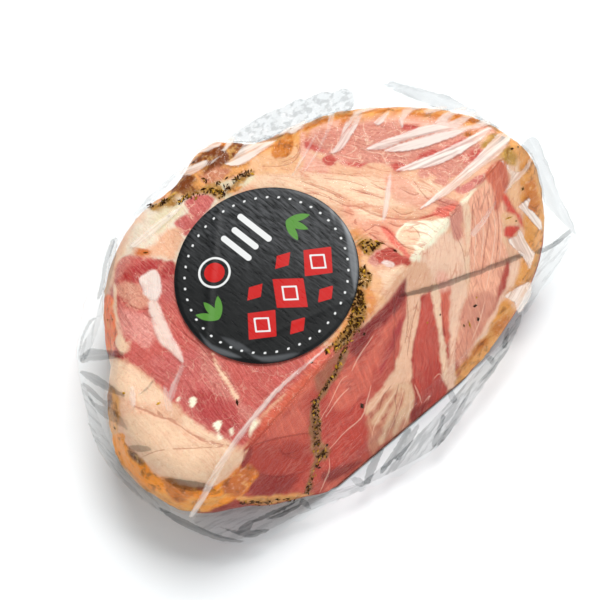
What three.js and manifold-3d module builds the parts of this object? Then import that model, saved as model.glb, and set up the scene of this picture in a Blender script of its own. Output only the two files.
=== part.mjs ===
// A chunk of a rolled, baked meat joint, sealed in a clear film bag with a round label.
// The roll is cut across on top and along its length in front; the two cuts meet in a straight ridge.
// The bag clings to the meat, and its loose edge stands out all round as a thin, wavy skirt.
// Millimetres, +Z up. The ridge runs along X, the front cut faces -Y, and the pack lies on its flat foot.

import * as THREE from 'three';
import { mergeVertices } from 'three/addons/utils/BufferGeometryUtils.js';
import Module from 'manifold-3d';

const radians = THREE.MathUtils.degToRad;

// The two cuts. RIDGE_HEIGHT is the ridge over the foot at x = 0.
const RIDGE_HEIGHT = 70;
const TOP_TILT = radians(13.6);
const FRONT_LEAN = radians(20);

// The roll's plan outline at its belly: radii from ROLL_CENTRE, one every 15 degrees from +X.
const ROLL_CENTRE = new THREE.Vector2(-8, 34);
const ROLL_RADII = [
  97, 87, 78, 71, 69, 77, 73, 77, 80, 81, 82, 92,
  97, 95, 84, 86, 107, 113, 112, 109, 106, 104, 110, 107,
];

// How the crust rounds over: inward at the top rim and at the foot, from the belly's share of the height.
const BELLY_SHARE = 0.5;
const RIM_ROUND = 13.6;
const RIM_ROUND_SWING = 4;
const RIM_POWER = 2.6;
const FOOT_ROUND = 27;
const FOOT_POWER = 2.2;
const CORNER_BLEND = 11;
const EDGE_ROUND = 2.2;
const EDGE_SHARE = EDGE_ROUND / RIDGE_HEIGHT;

// Lumps of the baked crust.
const LUMP_HEIGHT = 1.1;
const LUMP_WAVES = [
  { around: 5, up: 3, turn: 0.8, share: 1 },
  { around: 9, up: 4, turn: 2.3, share: 0.7 },
  { around: 14, up: 7, turn: 4.1, share: 0.45 },
];

// The skirt lies on a sloping plane: its height at the origin, and its rise along X and along Y.
const SKIRT_HEIGHT = 22;
const SKIRT_RISE = new THREE.Vector2(0.08, 0.3);
const SKIRT_THICKNESS = 1.5;
const SKIRT_ROOT = 7;
const SKIRT_WAVE = 1.6;
const SKIRT_WAVES = [
  { around: 7, turn: 0.6, share: 1 },
  { around: 17, turn: 2.1, share: 0.6 },
];
const SKIRT_OUTLINE = [
  [114, 26], [112, 38], [109, 50], [104, 60], [98, 70], [91, 79], [78, 85], [59, 95], [37, 103],
  [14, 110], [-7, 111], [-27, 110], [-47, 107], [-63, 99], [-74, 93], [-85, 85], [-92, 77],
  [-98, 68], [-104, 59], [-108, 46], [-109, 32], [-107, 18], [-104, 6], [-99, -5], [-92, -13],
  [-82, -18], [-68, -22], [-55, -26], [-43, -31], [-31, -36], [-16, -40], [3, -41], [20, -39],
  [34, -37], [47, -35], [60, -31], [78, -29], [92, -27], [103, -24], [108, -14], [112, -6],
  [118, 6], [123, 15], [117, 19],
];

// The label: a round sticker on the top cut, its centre given in plan.
const LABEL_RADIUS = 37.5;
const LABEL_THICKNESS = 0.5;
const LABEL_GAP = 0.3;
const LABEL_CENTRE = new THREE.Vector2(-18, 42.6);

// Mesh fineness.
const COLUMNS = 120;
const SIDE_RINGS = 14;
const CAP_SHARES = [0.78, 0.52, 0.26];
const SKIRT_COLUMNS = 144;
const SKIRT_STEPS = 5;
const LABEL_SIDES = 72;
const FIT_PASSES = 16;
const FIRST_RADIUS = 60;
const FAR = 1000;

const topNormal = new THREE.Vector3(-Math.sin(TOP_TILT), 0, Math.cos(TOP_TILT));
const frontNormal = new THREE.Vector3(0, -Math.cos(FRONT_LEAN), 0)
  .addScaledVector(topNormal, Math.sin(FRONT_LEAN))
  .normalize();
const frontOffset = frontNormal.z * RIDGE_HEIGHT;

function topHeight(x) {
  return RIDGE_HEIGHT + x * Math.tan(TOP_TILT);
}

function skirtHeight(x, y) {
  return SKIRT_HEIGHT + SKIRT_RISE.x * x + SKIRT_RISE.y * y;
}

// A smooth closed curve of values, read at an angle.
function around(values, angle) {
  const count = values.length;
  const turn = (((angle / (2 * Math.PI)) % 1) + 1) % 1;
  const at = turn * count;
  const i = Math.floor(at);
  const f = at - i;
  const [a, b, c, d] = [-1, 0, 1, 2].map((k) => values[(i + k + count) % count]);
  const square = 2 * a - 5 * b + 4 * c - d;
  const cube = 3 * b - a - 3 * c + d;
  return 0.5 * (2 * b + (c - a) * f + square * f * f + cube * f * f * f);
}

// The smaller of two values, with a soft change from one to the other over a width.
function softMin(a, b, width) {
  const h = THREE.MathUtils.clamp(0.5 + (0.5 * (b - a)) / width, 0, 1);
  return b * (1 - h) + a * h - width * h * (1 - h);
}

function lump(angle, share) {
  let sum = 0;
  for (const wave of LUMP_WAVES) {
    sum += wave.share * Math.sin(wave.around * angle + wave.turn) * Math.cos(wave.up * share + wave.turn);
  }
  return LUMP_HEIGHT * sum * Math.sin(Math.PI * share);
}

// How far in a quarter-round edge stands, 1 at its end and 0 at its start.
function roundOver(share, power) {
  return 1 - Math.sqrt(Math.max(0, 1 - share ** power));
}

// The crust's radius at a plan angle and a share of the height.
function crustRadius(angle, share) {
  const up = THREE.MathUtils.clamp((share - BELLY_SHARE) / (1 - BELLY_SHARE), 0, 1);
  const down = THREE.MathUtils.clamp((BELLY_SHARE - share) / BELLY_SHARE, 0, 1);
  const rim = (RIM_ROUND + RIM_ROUND_SWING * Math.cos(angle)) * roundOver(up, RIM_POWER);
  const foot = FOOT_ROUND * roundOver(down, FOOT_POWER);
  return around(ROLL_RADII, angle) - rim - foot + lump(angle, share);
}

// The front cut's distance from ROLL_CENTRE at a plan angle and a height.
function frontRadius(angle, z) {
  const toward = frontNormal.x * Math.cos(angle) + frontNormal.y * Math.sin(angle);
  if (toward < 1e-3) return FAR;
  const centre = frontNormal.x * ROLL_CENTRE.x + frontNormal.y * ROLL_CENTRE.y;
  return Math.min((frontOffset - centre - frontNormal.z * z) / toward, FAR);
}

// A point of the pack's side. The height follows the sloping top, so the radius is found in a few passes.
function sidePoint(angle, share) {
  let radius = FIRST_RADIUS;
  for (let pass = 0; pass < FIT_PASSES; pass += 1) {
    const z = share * topHeight(ROLL_CENTRE.x + radius * Math.cos(angle));
    const edge = THREE.MathUtils.clamp(1 - (1 - share) / EDGE_SHARE, 0, 1);
    const side = softMin(crustRadius(angle, share), frontRadius(angle, z), CORNER_BLEND);
    radius = 0.5 * (radius + side - EDGE_ROUND * roundOver(edge, 2));
  }
  const x = ROLL_CENTRE.x + radius * Math.cos(angle);
  const y = ROLL_CENTRE.y + radius * Math.sin(angle);
  return new THREE.Vector3(x, y, share * topHeight(x));
}

// A closed mesh from rings of equal length, each ring joined to the next; a cap is a fan on a centre.
class RingMesh {
  constructor() {
    this.positions = [];
    this.faces = [];
  }

  point(p) {
    this.positions.push(p.x, p.y, p.z);
    return this.positions.length / 3 - 1;
  }

  ring(points) {
    return points.map((p) => this.point(p));
  }

  join(lower, upper) {
    lower.forEach((a, i) => {
      const j = (i + 1) % lower.length;
      this.faces.push(a, lower[j], upper[j], a, upper[j], upper[i]);
    });
  }

  fan(ring, centre, faceUp) {
    const c = this.point(centre);
    ring.forEach((a, i) => {
      const b = ring[(i + 1) % ring.length];
      this.faces.push(...(faceUp ? [a, b, c] : [b, a, c]));
    });
  }

  geometry() {
    const geometry = new THREE.BufferGeometry();
    geometry.setAttribute('position', new THREE.Float32BufferAttribute(this.positions, 3));
    geometry.setIndex(this.faces);
    return geometry;
  }
}

function angles() {
  return Array.from({ length: COLUMNS }, (_, i) => (2 * Math.PI * i) / COLUMNS);
}

// The shares of the height where rings lie: closer together at the foot and at the rim.
function sideShares() {
  const even = Array.from({ length: SIDE_RINGS }, (_, i) => i / SIDE_RINGS);
  const shares = even.map((s) => (0.5 - 0.5 * Math.cos(Math.PI * s)) * (1 - EDGE_SHARE));
  return [...shares, 1 - EDGE_SHARE, 1 - 0.35 * EDGE_SHARE, 1];
}

function packBody() {
  const mesh = new RingMesh();
  const rings = sideShares().map((share) => mesh.ring(angles().map((angle) => sidePoint(angle, share))));
  for (let k = 1; k < rings.length; k += 1) mesh.join(rings[k - 1], rings[k]);
  const middle = new THREE.Vector3(ROLL_CENTRE.x, ROLL_CENTRE.y, 0);
  mesh.fan(rings[0], middle, false);
  const topMiddle = middle.clone().setZ(topHeight(middle.x));
  const rim = angles().map((angle) => sidePoint(angle, 1));
  let outer = rings.at(-1);
  for (const share of CAP_SHARES) {
    const inner = mesh.ring(rim.map((p) => topMiddle.clone().lerp(p, share)));
    mesh.join(outer, inner);
    outer = inner;
  }
  mesh.fan(outer, topMiddle, true);
  return mesh.geometry();
}

// The skirt's wave at a plan angle, growing from its root to its free edge.
function skirtWave(angle, share) {
  let sum = 0;
  for (const wave of SKIRT_WAVES) sum += wave.share * Math.sin(wave.around * angle + wave.turn);
  return SKIRT_WAVE * share * sum;
}

// One column of the skirt for each point of its free edge, rooted inside the pack's side.
function skirtColumns() {
  const outline = SKIRT_OUTLINE.map(([x, y]) => new THREE.Vector3(x, y, 0));
  const curve = new THREE.CatmullRomCurve3(outline, true, 'centripetal');
  const centre = new THREE.Vector3(ROLL_CENTRE.x, ROLL_CENTRE.y, 0);
  return curve.getPoints(SKIRT_COLUMNS).slice(0, -1).map((outer) => {
    const angle = Math.atan2(outer.y - centre.y, outer.x - centre.x);
    const side = sidePoint(angle, skirtHeight(outer.x, outer.y) / topHeight(outer.x)).setZ(0);
    const inner = side.addScaledVector(centre.clone().sub(side).normalize(), SKIRT_ROOT);
    return { angle, inner, outer };
  });
}

// A closed ring: a top and a bottom layer, split alike, with a free edge and a root.
function skirt() {
  const columns = skirtColumns();
  const mesh = new RingMesh();
  const layer = (share, side) => mesh.ring(columns.map(({ angle, inner, outer }) => {
    const p = inner.clone().lerp(outer, share);
    p.z = skirtHeight(p.x, p.y) + skirtWave(angle, share) + (side * SKIRT_THICKNESS) / 2;
    return p;
  }));
  const shares = Array.from({ length: SKIRT_STEPS + 1 }, (_, i) => i / SKIRT_STEPS);
  const top = shares.map((share) => layer(share, 1));
  const bottom = shares.map((share) => layer(share, -1));
  for (let k = 0; k < SKIRT_STEPS; k += 1) {
    mesh.join(top[k + 1], top[k]);
    mesh.join(bottom[k], bottom[k + 1]);
  }
  mesh.join(bottom.at(-1), top.at(-1));
  mesh.join(top[0], bottom[0]);
  return mesh.geometry();
}

const wasm = await Module();
wasm.setup();

function solid(geometry) {
  const merged = mergeVertices(geometry);
  const vertProperties = new Float32Array(merged.attributes.position.array);
  const triVerts = new Uint32Array(merged.index.array);
  return new wasm.Manifold(new wasm.Mesh({ numProp: 3, vertProperties, triVerts }));
}

function united(first, second) {
  const joined = solid(first).add(solid(second)).getMesh();
  const geometry = new THREE.BufferGeometry();
  geometry.setAttribute('position', new THREE.Float32BufferAttribute(joined.vertProperties, 3));
  geometry.setIndex([...joined.triVerts]);
  return mergeVertices(geometry);
}

function packMesh() {
  const film = new THREE.MeshStandardMaterial({ color: 0xd98a76, roughness: 0.25, metalness: 0 });
  const mesh = new THREE.Mesh(united(packBody(), skirt()), film);
  mesh.name = 'film_pack';
  return mesh;
}

function labelMesh() {
  const paper = new THREE.MeshStandardMaterial({ color: 0x1c1c1e, roughness: 0.45, metalness: 0 });
  const geometry = new THREE.CylinderGeometry(LABEL_RADIUS, LABEL_RADIUS, LABEL_THICKNESS, LABEL_SIDES);
  geometry.deleteAttribute('normal');
  geometry.deleteAttribute('uv');
  const mesh = new THREE.Mesh(mergeVertices(geometry), paper);
  mesh.name = 'label';
  mesh.quaternion.setFromUnitVectors(new THREE.Vector3(0, 1, 0), topNormal);
  mesh.position.set(LABEL_CENTRE.x, LABEL_CENTRE.y, topHeight(LABEL_CENTRE.x));
  mesh.position.addScaledVector(topNormal, LABEL_GAP + LABEL_THICKNESS / 2);
  return mesh;
}

// The pack stands on its foot with the middle of its plan box at the origin.
function pack() {
  const group = new THREE.Group();
  const body = packMesh();
  group.add(body, labelMesh());
  body.geometry.computeBoundingBox();
  const middle = body.geometry.boundingBox.getCenter(new THREE.Vector3());
  group.position.set(-middle.x, -middle.y, 0);
  group.updateMatrixWorld(true);
  return group;
}

export default pack();
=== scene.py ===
"""A chunk of rolled, baked ham sealed in clear film, with a round label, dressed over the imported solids.

The shapes follow the same formulas and millimetres as the solids, and every mesh ends up in metres.
Areas of the meat are drawn as outlines seen by the photograph's camera and laid on the surface they show.
"""

import itertools
import math

import bpy
import numpy as np
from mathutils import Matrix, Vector


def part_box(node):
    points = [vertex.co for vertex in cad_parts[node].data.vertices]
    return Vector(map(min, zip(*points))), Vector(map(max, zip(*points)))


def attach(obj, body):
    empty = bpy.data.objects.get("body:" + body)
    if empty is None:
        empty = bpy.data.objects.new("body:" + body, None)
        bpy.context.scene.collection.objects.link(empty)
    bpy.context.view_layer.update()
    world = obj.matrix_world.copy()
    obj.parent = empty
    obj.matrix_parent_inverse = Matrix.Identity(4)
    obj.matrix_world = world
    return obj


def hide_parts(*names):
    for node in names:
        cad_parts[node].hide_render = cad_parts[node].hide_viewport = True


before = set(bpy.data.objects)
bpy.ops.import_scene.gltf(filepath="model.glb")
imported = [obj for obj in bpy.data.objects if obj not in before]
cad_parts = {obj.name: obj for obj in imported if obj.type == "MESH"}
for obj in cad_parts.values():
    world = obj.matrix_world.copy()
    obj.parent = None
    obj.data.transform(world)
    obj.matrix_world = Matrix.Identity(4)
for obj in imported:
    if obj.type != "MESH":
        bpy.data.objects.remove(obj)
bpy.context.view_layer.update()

MM = 0.001
TAU = 2 * math.pi

# The pack's shape, in millimetres, as in the solids.
RIDGE_HEIGHT = 70
TOP_TILT = math.radians(13.6)
FRONT_LEAN = math.radians(20)
ROLL_CENTRE = (-8, 34)
ROLL_RADII = np.array([
    97, 87, 78, 71, 69, 77, 73, 77, 80, 81, 82, 92,
    97, 95, 84, 86, 107, 113, 112, 109, 106, 104, 110, 107,
], float)
BELLY_SHARE = 0.5
RIM_ROUND, RIM_ROUND_SWING, RIM_POWER = 13.6, 4, 2.6
FOOT_ROUND, FOOT_POWER = 27, 2.2
CORNER_BLEND = 11
EDGE_ROUND = 2.2
EDGE_SHARE = EDGE_ROUND / RIDGE_HEIGHT
LUMP_HEIGHT = 1.1
LUMP_WAVES = ((5, 3, 0.8, 1), (9, 4, 2.3, 0.7), (14, 7, 4.1, 0.45))  # around, up, turn, share
SKIRT_HEIGHT = 22
SKIRT_RISE = (0.08, 0.3)
SKIRT_OUTLINE = (
    (114, 26), (112, 38), (109, 50), (104, 60), (98, 70), (91, 79), (78, 85), (59, 95), (37, 103),
    (14, 110), (-7, 111), (-27, 110), (-47, 107), (-63, 99), (-74, 93), (-85, 85), (-92, 77),
    (-98, 68), (-104, 59), (-108, 46), (-109, 32), (-107, 18), (-104, 6), (-99, -5), (-92, -13),
    (-82, -18), (-68, -22), (-55, -26), (-43, -31), (-31, -36), (-16, -40), (3, -41), (20, -39),
    (34, -37), (47, -35), (60, -31), (78, -29), (92, -27), (103, -24), (108, -14), (112, -6),
    (118, 6), (123, 15), (117, 19),
)
LABEL_RADIUS, LABEL_THICKNESS, LABEL_GAP = 37.5, 0.5, 0.3
LABEL_CENTRE = (-18, 42.6)
FIT_PASSES, FIRST_RADIUS, FAR = 16, 60, 1000

TOP_NORMAL = np.array([-math.sin(TOP_TILT), 0, math.cos(TOP_TILT)])
FRONT_NORMAL = np.array([0, -math.cos(FRONT_LEAN), 0]) + TOP_NORMAL * math.sin(FRONT_LEAN)
FRONT_NORMAL /= np.linalg.norm(FRONT_NORMAL)
FRONT_OFFSET = FRONT_NORMAL[2] * RIDGE_HEIGHT


def smooth(low, high, value):
    """0 below low, 1 above high, with a smooth change between."""
    t = np.clip((value - low) / (high - low), 0, 1)
    return t * t * (3 - 2 * t)


def top_height(x):
    """The sloping top cut's height."""
    return RIDGE_HEIGHT + x * math.tan(TOP_TILT)


def spline(a, b, c, d, f):
    """A smooth way from b to c, where a comes before and d after them; f runs from 0 to 1."""
    square = 2 * a - 5 * b + 4 * c - d
    cube = 3 * b - a - 3 * c + d
    return 0.5 * (2 * b + (c - a) * f + square * f ** 2 + cube * f ** 3)


def around(values, angle):
    """A smooth closed curve of values, read at an angle."""
    at = (angle / TAU % 1) * len(values)
    i = np.floor(at).astype(int)
    return spline(*(values[(i + k) % len(values)] for k in (-1, 0, 1, 2)), at - i)


def soft_min(a, b, width):
    """The smaller of two values, with a soft change from one to the other over a width."""
    h = np.clip(0.5 + 0.5 * (b - a) / width, 0, 1)
    return b * (1 - h) + a * h - width * h * (1 - h)


def round_over(share, power):
    """How far in a quarter-round edge stands: 1 at its end and 0 at its start."""
    return 1 - np.sqrt(np.maximum(0, 1 - share ** power))


def crust_radius(angle, share):
    """The crust's radius at a plan angle and a share of the height."""
    up = np.clip((share - BELLY_SHARE) / (1 - BELLY_SHARE), 0, 1)
    down = np.clip((BELLY_SHARE - share) / BELLY_SHARE, 0, 1)
    rim = (RIM_ROUND + RIM_ROUND_SWING * np.cos(angle)) * round_over(up, RIM_POWER)
    foot = FOOT_ROUND * round_over(down, FOOT_POWER)
    lump = sum(s * np.sin(k * angle + t) * np.cos(u * share + t) for k, u, t, s in LUMP_WAVES)
    return around(ROLL_RADII, angle) - rim - foot + LUMP_HEIGHT * lump * np.sin(math.pi * share)


def front_radius(angle, z):
    """The front cut's distance from ROLL_CENTRE at a plan angle and a height."""
    toward = FRONT_NORMAL[0] * np.cos(angle) + FRONT_NORMAL[1] * np.sin(angle)
    centre = FRONT_NORMAL[0] * ROLL_CENTRE[0] + FRONT_NORMAL[1] * ROLL_CENTRE[1]
    away = (FRONT_OFFSET - centre - FRONT_NORMAL[2] * z) / np.maximum(toward, 1e-3)
    return np.where(toward < 1e-3, FAR, np.minimum(away, FAR))


def side_point(angle, share):
    """A point of the pack's side, at a plan angle and a share of the height."""
    angle, share = np.broadcast_arrays(np.asarray(angle, float), np.asarray(share, float))
    radius = np.full(angle.shape, float(FIRST_RADIUS))
    edge = np.clip(1 - (1 - share) / EDGE_SHARE, 0, 1)
    for _ in range(FIT_PASSES):
        z = share * top_height(ROLL_CENTRE[0] + radius * np.cos(angle))
        side = soft_min(crust_radius(angle, share), front_radius(angle, z), CORNER_BLEND)
        radius = 0.5 * (radius + side - EDGE_ROUND * round_over(edge, 2))
    x = ROLL_CENTRE[0] + radius * np.cos(angle)
    y = ROLL_CENTRE[1] + radius * np.sin(angle)
    return np.stack([x, y, share * top_height(x)], -1)


TOP_MIDDLE = np.array([*ROLL_CENTRE, top_height(ROLL_CENTRE[0])])
FOOT_MIDDLE = np.array([*ROLL_CENTRE, 0.0])


def pack_point(angle, path):
    """A point of the pack's surface: path runs from -1 under its middle, by 0 at the foot and 1 at the rim,
    to 2 over its middle."""
    angle, path = np.broadcast_arrays(np.asarray(angle, float), np.asarray(path, float))
    side = side_point(angle, np.clip(path, 0, 1))
    over = np.clip(path - 1, 0, 1)[..., None]
    under = np.clip(-path, 0, 1)[..., None]
    return side + (TOP_MIDDLE - side) * over + (FOOT_MIDDLE - side) * under


def skirt_height(x, y):
    """The height of the plane that the skirt of loose film stands out in."""
    return SKIRT_HEIGHT + SKIRT_RISE[0] * x + SKIRT_RISE[1] * y


# The solids' own shift, so that the pack stands on the middle of its plan box.
label_place = np.array([*LABEL_CENTRE, top_height(LABEL_CENTRE[0])])
label_place = label_place + TOP_NORMAL * (LABEL_GAP + LABEL_THICKNESS / 2)
label_low, label_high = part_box("label")
SHIFT = np.array((label_low + label_high) / 2) / MM - label_place

# The photograph's camera, in the same millimetres: it turns round AIM, which shows at AIM_PX.
CAMERA_AZIMUTH, CAMERA_ELEVATION = math.radians(-47.8), math.radians(60)
CAMERA_DISTANCE = 950
MM_PER_PX = 0.395
PHOTO_SIZE = 600
SENSOR_WIDTH = 36
AIM, AIM_PX = np.array([0, 0, RIDGE_HEIGHT]), (376.5, 302.5)
BACK = np.array([
    math.sin(CAMERA_AZIMUTH) * math.cos(CAMERA_ELEVATION),
    -math.cos(CAMERA_AZIMUTH) * math.cos(CAMERA_ELEVATION),
    math.sin(CAMERA_ELEVATION),
])
RIGHT = np.array([math.cos(CAMERA_AZIMUTH), math.sin(CAMERA_AZIMUTH), 0])
UP = np.cross(BACK, RIGHT)
MIDDLE_PX = PHOTO_SIZE / 2
EYE = (
    AIM + BACK * CAMERA_DISTANCE
    - RIGHT * (AIM_PX[0] - MIDDLE_PX) * MM_PER_PX
    - UP * (MIDDLE_PX - AIM_PX[1]) * MM_PER_PX
)
FOCAL_PX = CAMERA_DISTANCE / MM_PER_PX


def project(points):
    """Where points show in the photograph, in its pixels."""
    away = points - EYE
    depth = -(away @ BACK)
    return np.stack([
        MIDDLE_PX + FOCAL_PX * (away @ RIGHT) / depth,
        MIDDLE_PX - FOCAL_PX * (away @ UP) / depth,
    ], -1)


def facing(points, normals):
    """How much the photograph's camera sees of a surface: 0 for nothing, 1 for all of it. Low down it has to
    face the camera more, so that what is drawn on the cuts doesn't run down the side."""
    toward = EYE - points
    toward /= np.linalg.norm(toward, axis=1)[:, None]
    low = smooth(0.5, 0.35, points[:, 2] / top_height(points[:, 0]))
    return smooth(-0.1, 0.1, (normals * toward).sum(1) - 0.25 * low)


def add_object(name, data):
    """A new object in the scene."""
    made = bpy.data.objects.new(name, data)
    bpy.context.scene.collection.objects.link(made)
    return made


def aim(thing, at, way):
    """Puts a camera or a light at a place in metres, looking one way."""
    thing.location = at
    thing.rotation_mode = "QUATERNION"
    thing.rotation_quaternion = Vector(way).to_track_quat("-Z", "Y")


def make_camera():
    """A camera that sees the pack as the photograph shows it."""
    data = bpy.data.cameras.new("photo_camera")
    data.sensor_width = SENSOR_WIDTH
    data.lens = FOCAL_PX / PHOTO_SIZE * SENSOR_WIDTH
    camera = add_object("photo_camera", data)
    aim(camera, (EYE + SHIFT) * MM, -BACK)
    bpy.context.scene.camera = camera


class Noise:
    """Smooth noise in space, from -1 to 1, the same on every run."""

    SIZE = 32

    def __init__(self, seed):
        self.values = np.random.default_rng(seed).uniform(-1, 1, (self.SIZE,) * 3)

    def at(self, points, cell):
        scaled = points / cell
        low = np.floor(scaled).astype(int)
        f = scaled - low
        f = f * f * (3 - 2 * f)
        total = np.zeros(len(points))
        for corner in itertools.product((0, 1), repeat=3):
            share = np.prod(np.where(corner, f, 1 - f), axis=1)
            i, j, k = ((low + corner) % self.SIZE).T
            total += share * self.values[i, j, k]
        return total

    def layers(self, points, cell, count=3, keep=0.5):
        return sum(keep ** n * self.at(points + 17.3 * n, cell / 2 ** n) for n in range(count))


# ---------------------------------------------------------------- meshes

def ring_faces(rings, columns, first_pole=None, last_pole=None):
    """Faces that join rings of vertices, one after another, and the poles that close the ends."""
    i = np.arange(columns)
    j = (i + 1) % columns
    faces = []
    for k in range(rings - 1):
        low, high = k * columns, (k + 1) * columns
        faces += np.stack([low + i, low + j, high + j, high + i], -1).tolist()
    if first_pole is not None:
        faces += np.stack([np.full(columns, first_pole), j, i], -1).tolist()
    if last_pole is not None:
        last = (rings - 1) * columns
        faces += np.stack([last + i, last + j, np.full(columns, last_pole)], -1).tolist()
    return faces


def make_piece(name, points, faces, material, replaces=None):
    """A smooth mesh piece from points in millimetres, riding on the one body."""
    mesh = bpy.data.meshes.new(name)
    mesh.from_pydata(((points + SHIFT) * MM).tolist(), [], faces)
    mesh.shade_smooth()
    mesh.update()
    mesh.materials.append(material)
    piece = add_object(name, mesh)
    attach(piece, "root")
    if replaces:
        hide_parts(replaces)
    return piece


def normals_of(points, faces):
    """Vertex normals of a mesh that isn't made yet."""
    normals = np.zeros_like(points)
    for size in (3, 4):
        some = np.array([f for f in faces if len(f) == size], int)
        if not len(some):
            continue
        a, b = points[some[:, 2]] - points[some[:, 0]], points[some[:, -1]] - points[some[:, 1]]
        face = np.cross(a, b) if size == 4 else np.cross(points[some[:, 1]] - points[some[:, 0]], a)
        for k in range(size):
            np.add.at(normals, some[:, k], face)
    return normals / np.maximum(np.linalg.norm(normals, axis=1), 1e-9)[:, None]


def store(piece, **layers):
    """Keeps numbers or colours for each vertex, by name, for the material to read."""
    for name, values in layers.items():
        values = np.asarray(values, np.float32)
        if values.ndim == 1:
            piece.data.attributes.new(name, "FLOAT", "POINT").data.foreach_set("value", values)
            continue
        rgba_values = np.ones((len(values), 4), np.float32)
        rgba_values[:, :3] = values
        layer = piece.data.attributes.new(name, "FLOAT_COLOR", "POINT")
        layer.data.foreach_set("color", rgba_values.ravel())


# ---------------------------------------------------------------- drawing on surfaces

def linear(colour):
    """Linear light from the 0 to 255 numbers that a colour is read in."""
    c = np.array(colour, float) / 255
    return np.where(c <= 0.04045, c / 12.92, ((c + 0.055) / 1.055) ** 2.4)


def curve(points, closed, steps=4):
    """A smooth line through a few points."""
    p = np.array(points, float)
    if len(p) < 3:
        return p
    ends = [p[-1:], p, p[:2]] if closed else [2 * p[:1] - p[1:2], p, 2 * p[-1:] - p[-2:-1]]
    ends = np.vstack(ends)
    a, b, c, d = (ends[k:len(ends) - 3 + k, None] for k in range(4))
    line = spline(a, b, c, d, (np.arange(steps) / steps)[None, :, None]).reshape(-1, 2)
    return line if closed else np.vstack([line, p[-1:]])


def line_distance(at, line):
    """Distance to a line, the same with a sign for the side of the line, and how far along it that is."""
    near = np.full(len(at), 1e6)
    side = np.full(len(at), 1e6)
    share = np.zeros(len(at))
    for k, (a, b) in enumerate(zip(line[:-1], line[1:])):
        along = b - a
        t = np.clip(((at - a) @ along) / max(along @ along, 1e-9), 0, 1)
        gap = at - a - t[:, None] * along
        far = np.hypot(gap[:, 0], gap[:, 1])
        closer = far < near
        sign = np.sign(along[0] * gap[:, 1] - along[1] * gap[:, 0])
        near = np.where(closer, far, near)
        side = np.where(closer, far * np.where(sign == 0, 1, sign), side)
        share = np.where(closer, (k + t) / (len(line) - 1), share)
    return near, side, share


def area_distance(at, outline):
    """Distance to an outline, below 0 inside it."""
    near = line_distance(at, np.vstack([outline, outline[:1]]))[0]
    inside = np.zeros(len(at), bool)
    for a, b in zip(outline, np.roll(outline, -1, 0)):
        crosses = (a[1] > at[:, 1]) != (b[1] > at[:, 1])
        rise = np.where(b[1] == a[1], 1e-9, b[1] - a[1])
        inside ^= crosses & (at[:, 0] < (b[0] - a[0]) * (at[:, 1] - a[1]) / rise + a[0])
    return np.where(inside, -near, near)


def near_to(at, points, margin):
    """Indices of the places that lie within a margin of a few points' box."""
    low, high = np.min(points, 0) - margin, np.max(points, 0) + margin
    return np.nonzero(((at > low) & (at < high)).all(1))[0]


# ---------------------------------------------------------------- what the meat shows

# Colours of the fat, the lean and the crust, as read in sRGB.
FAT_TONES = {
    "cream": (234, 178, 142), "pale": (246, 204, 170), "butter": (242, 199, 164), "knot": (255, 244, 214),
    "apricot": (238, 172, 144), "blush": (240, 176, 152), "swirl": (236, 164, 134),
    # The pale streak and whitish tones are partly painted highlights, where the film's glints are drawn into
    # the fat.
    "membrane": (226, 146, 78), "tan": (240, 182, 134), "glint_streak": (240, 204, 188),
    "whitish": (238, 214, 204), "grey_fat": (236, 216, 192), "olive_fat": (226, 208, 174),
    "spot": (204, 104, 34), "strip": (238, 186, 152), "fan_white": (232, 184, 146),
    "pink": (244, 197, 167),
}
LEAN_TONES = {
    "coral_brown": (200, 124, 88), "blush_red": (224, 142, 130), "eye": (217, 138, 118),
    "eye_dark": (200, 76, 64), "seam_red": (230, 108, 88), "wedge": (183, 62, 48),
    "wedge_grey": (206, 132, 116), "rose": (200, 94, 88), "rose_dark": (180, 62, 60),
    "rose_light": (206, 116, 104), "plum": (176, 44, 44), "ham": (197, 86, 77),
    "mottled": (214, 142, 118), "coral": (217, 96, 70), "brick": (190, 58, 42), "deep": (126, 2, 0),
    # The front cut's darkest reds, low down and at its foot, are its own dark red with painted shade.
    "deeper_red_and_shade": (140, 20, 8), "flesh": (192, 70, 52), "flesh_light": (212, 94, 72),
    "dark_flesh_and_shade": (172, 46, 28), "dusky": (166, 90, 62), "olive": (152, 98, 54), "fan": (204, 124, 94),
    "centre_red": (196, 66, 48), "centre_low": (180, 50, 36), "fibre": (244, 170, 138),
    "fibre_low": (216, 138, 112), "fibre_red": (212, 104, 74), "scarlet": (210, 50, 26),
}
CRUST_TONES = {
    "gold": (228, 150, 68), "amber": (210, 118, 34), "brown": (124, 56, 0), "umber": (112, 62, 18),
    "ochre": (190, 140, 62), "toffee": (234, 160, 88), "bed": (176, 124, 56), "orange": (250, 146, 12),
    "ember": (255, 118, 58), "caramel": (204, 104, 34),
}
TONES = {**FAT_TONES, **LEAN_TONES, **CRUST_TONES}

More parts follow.
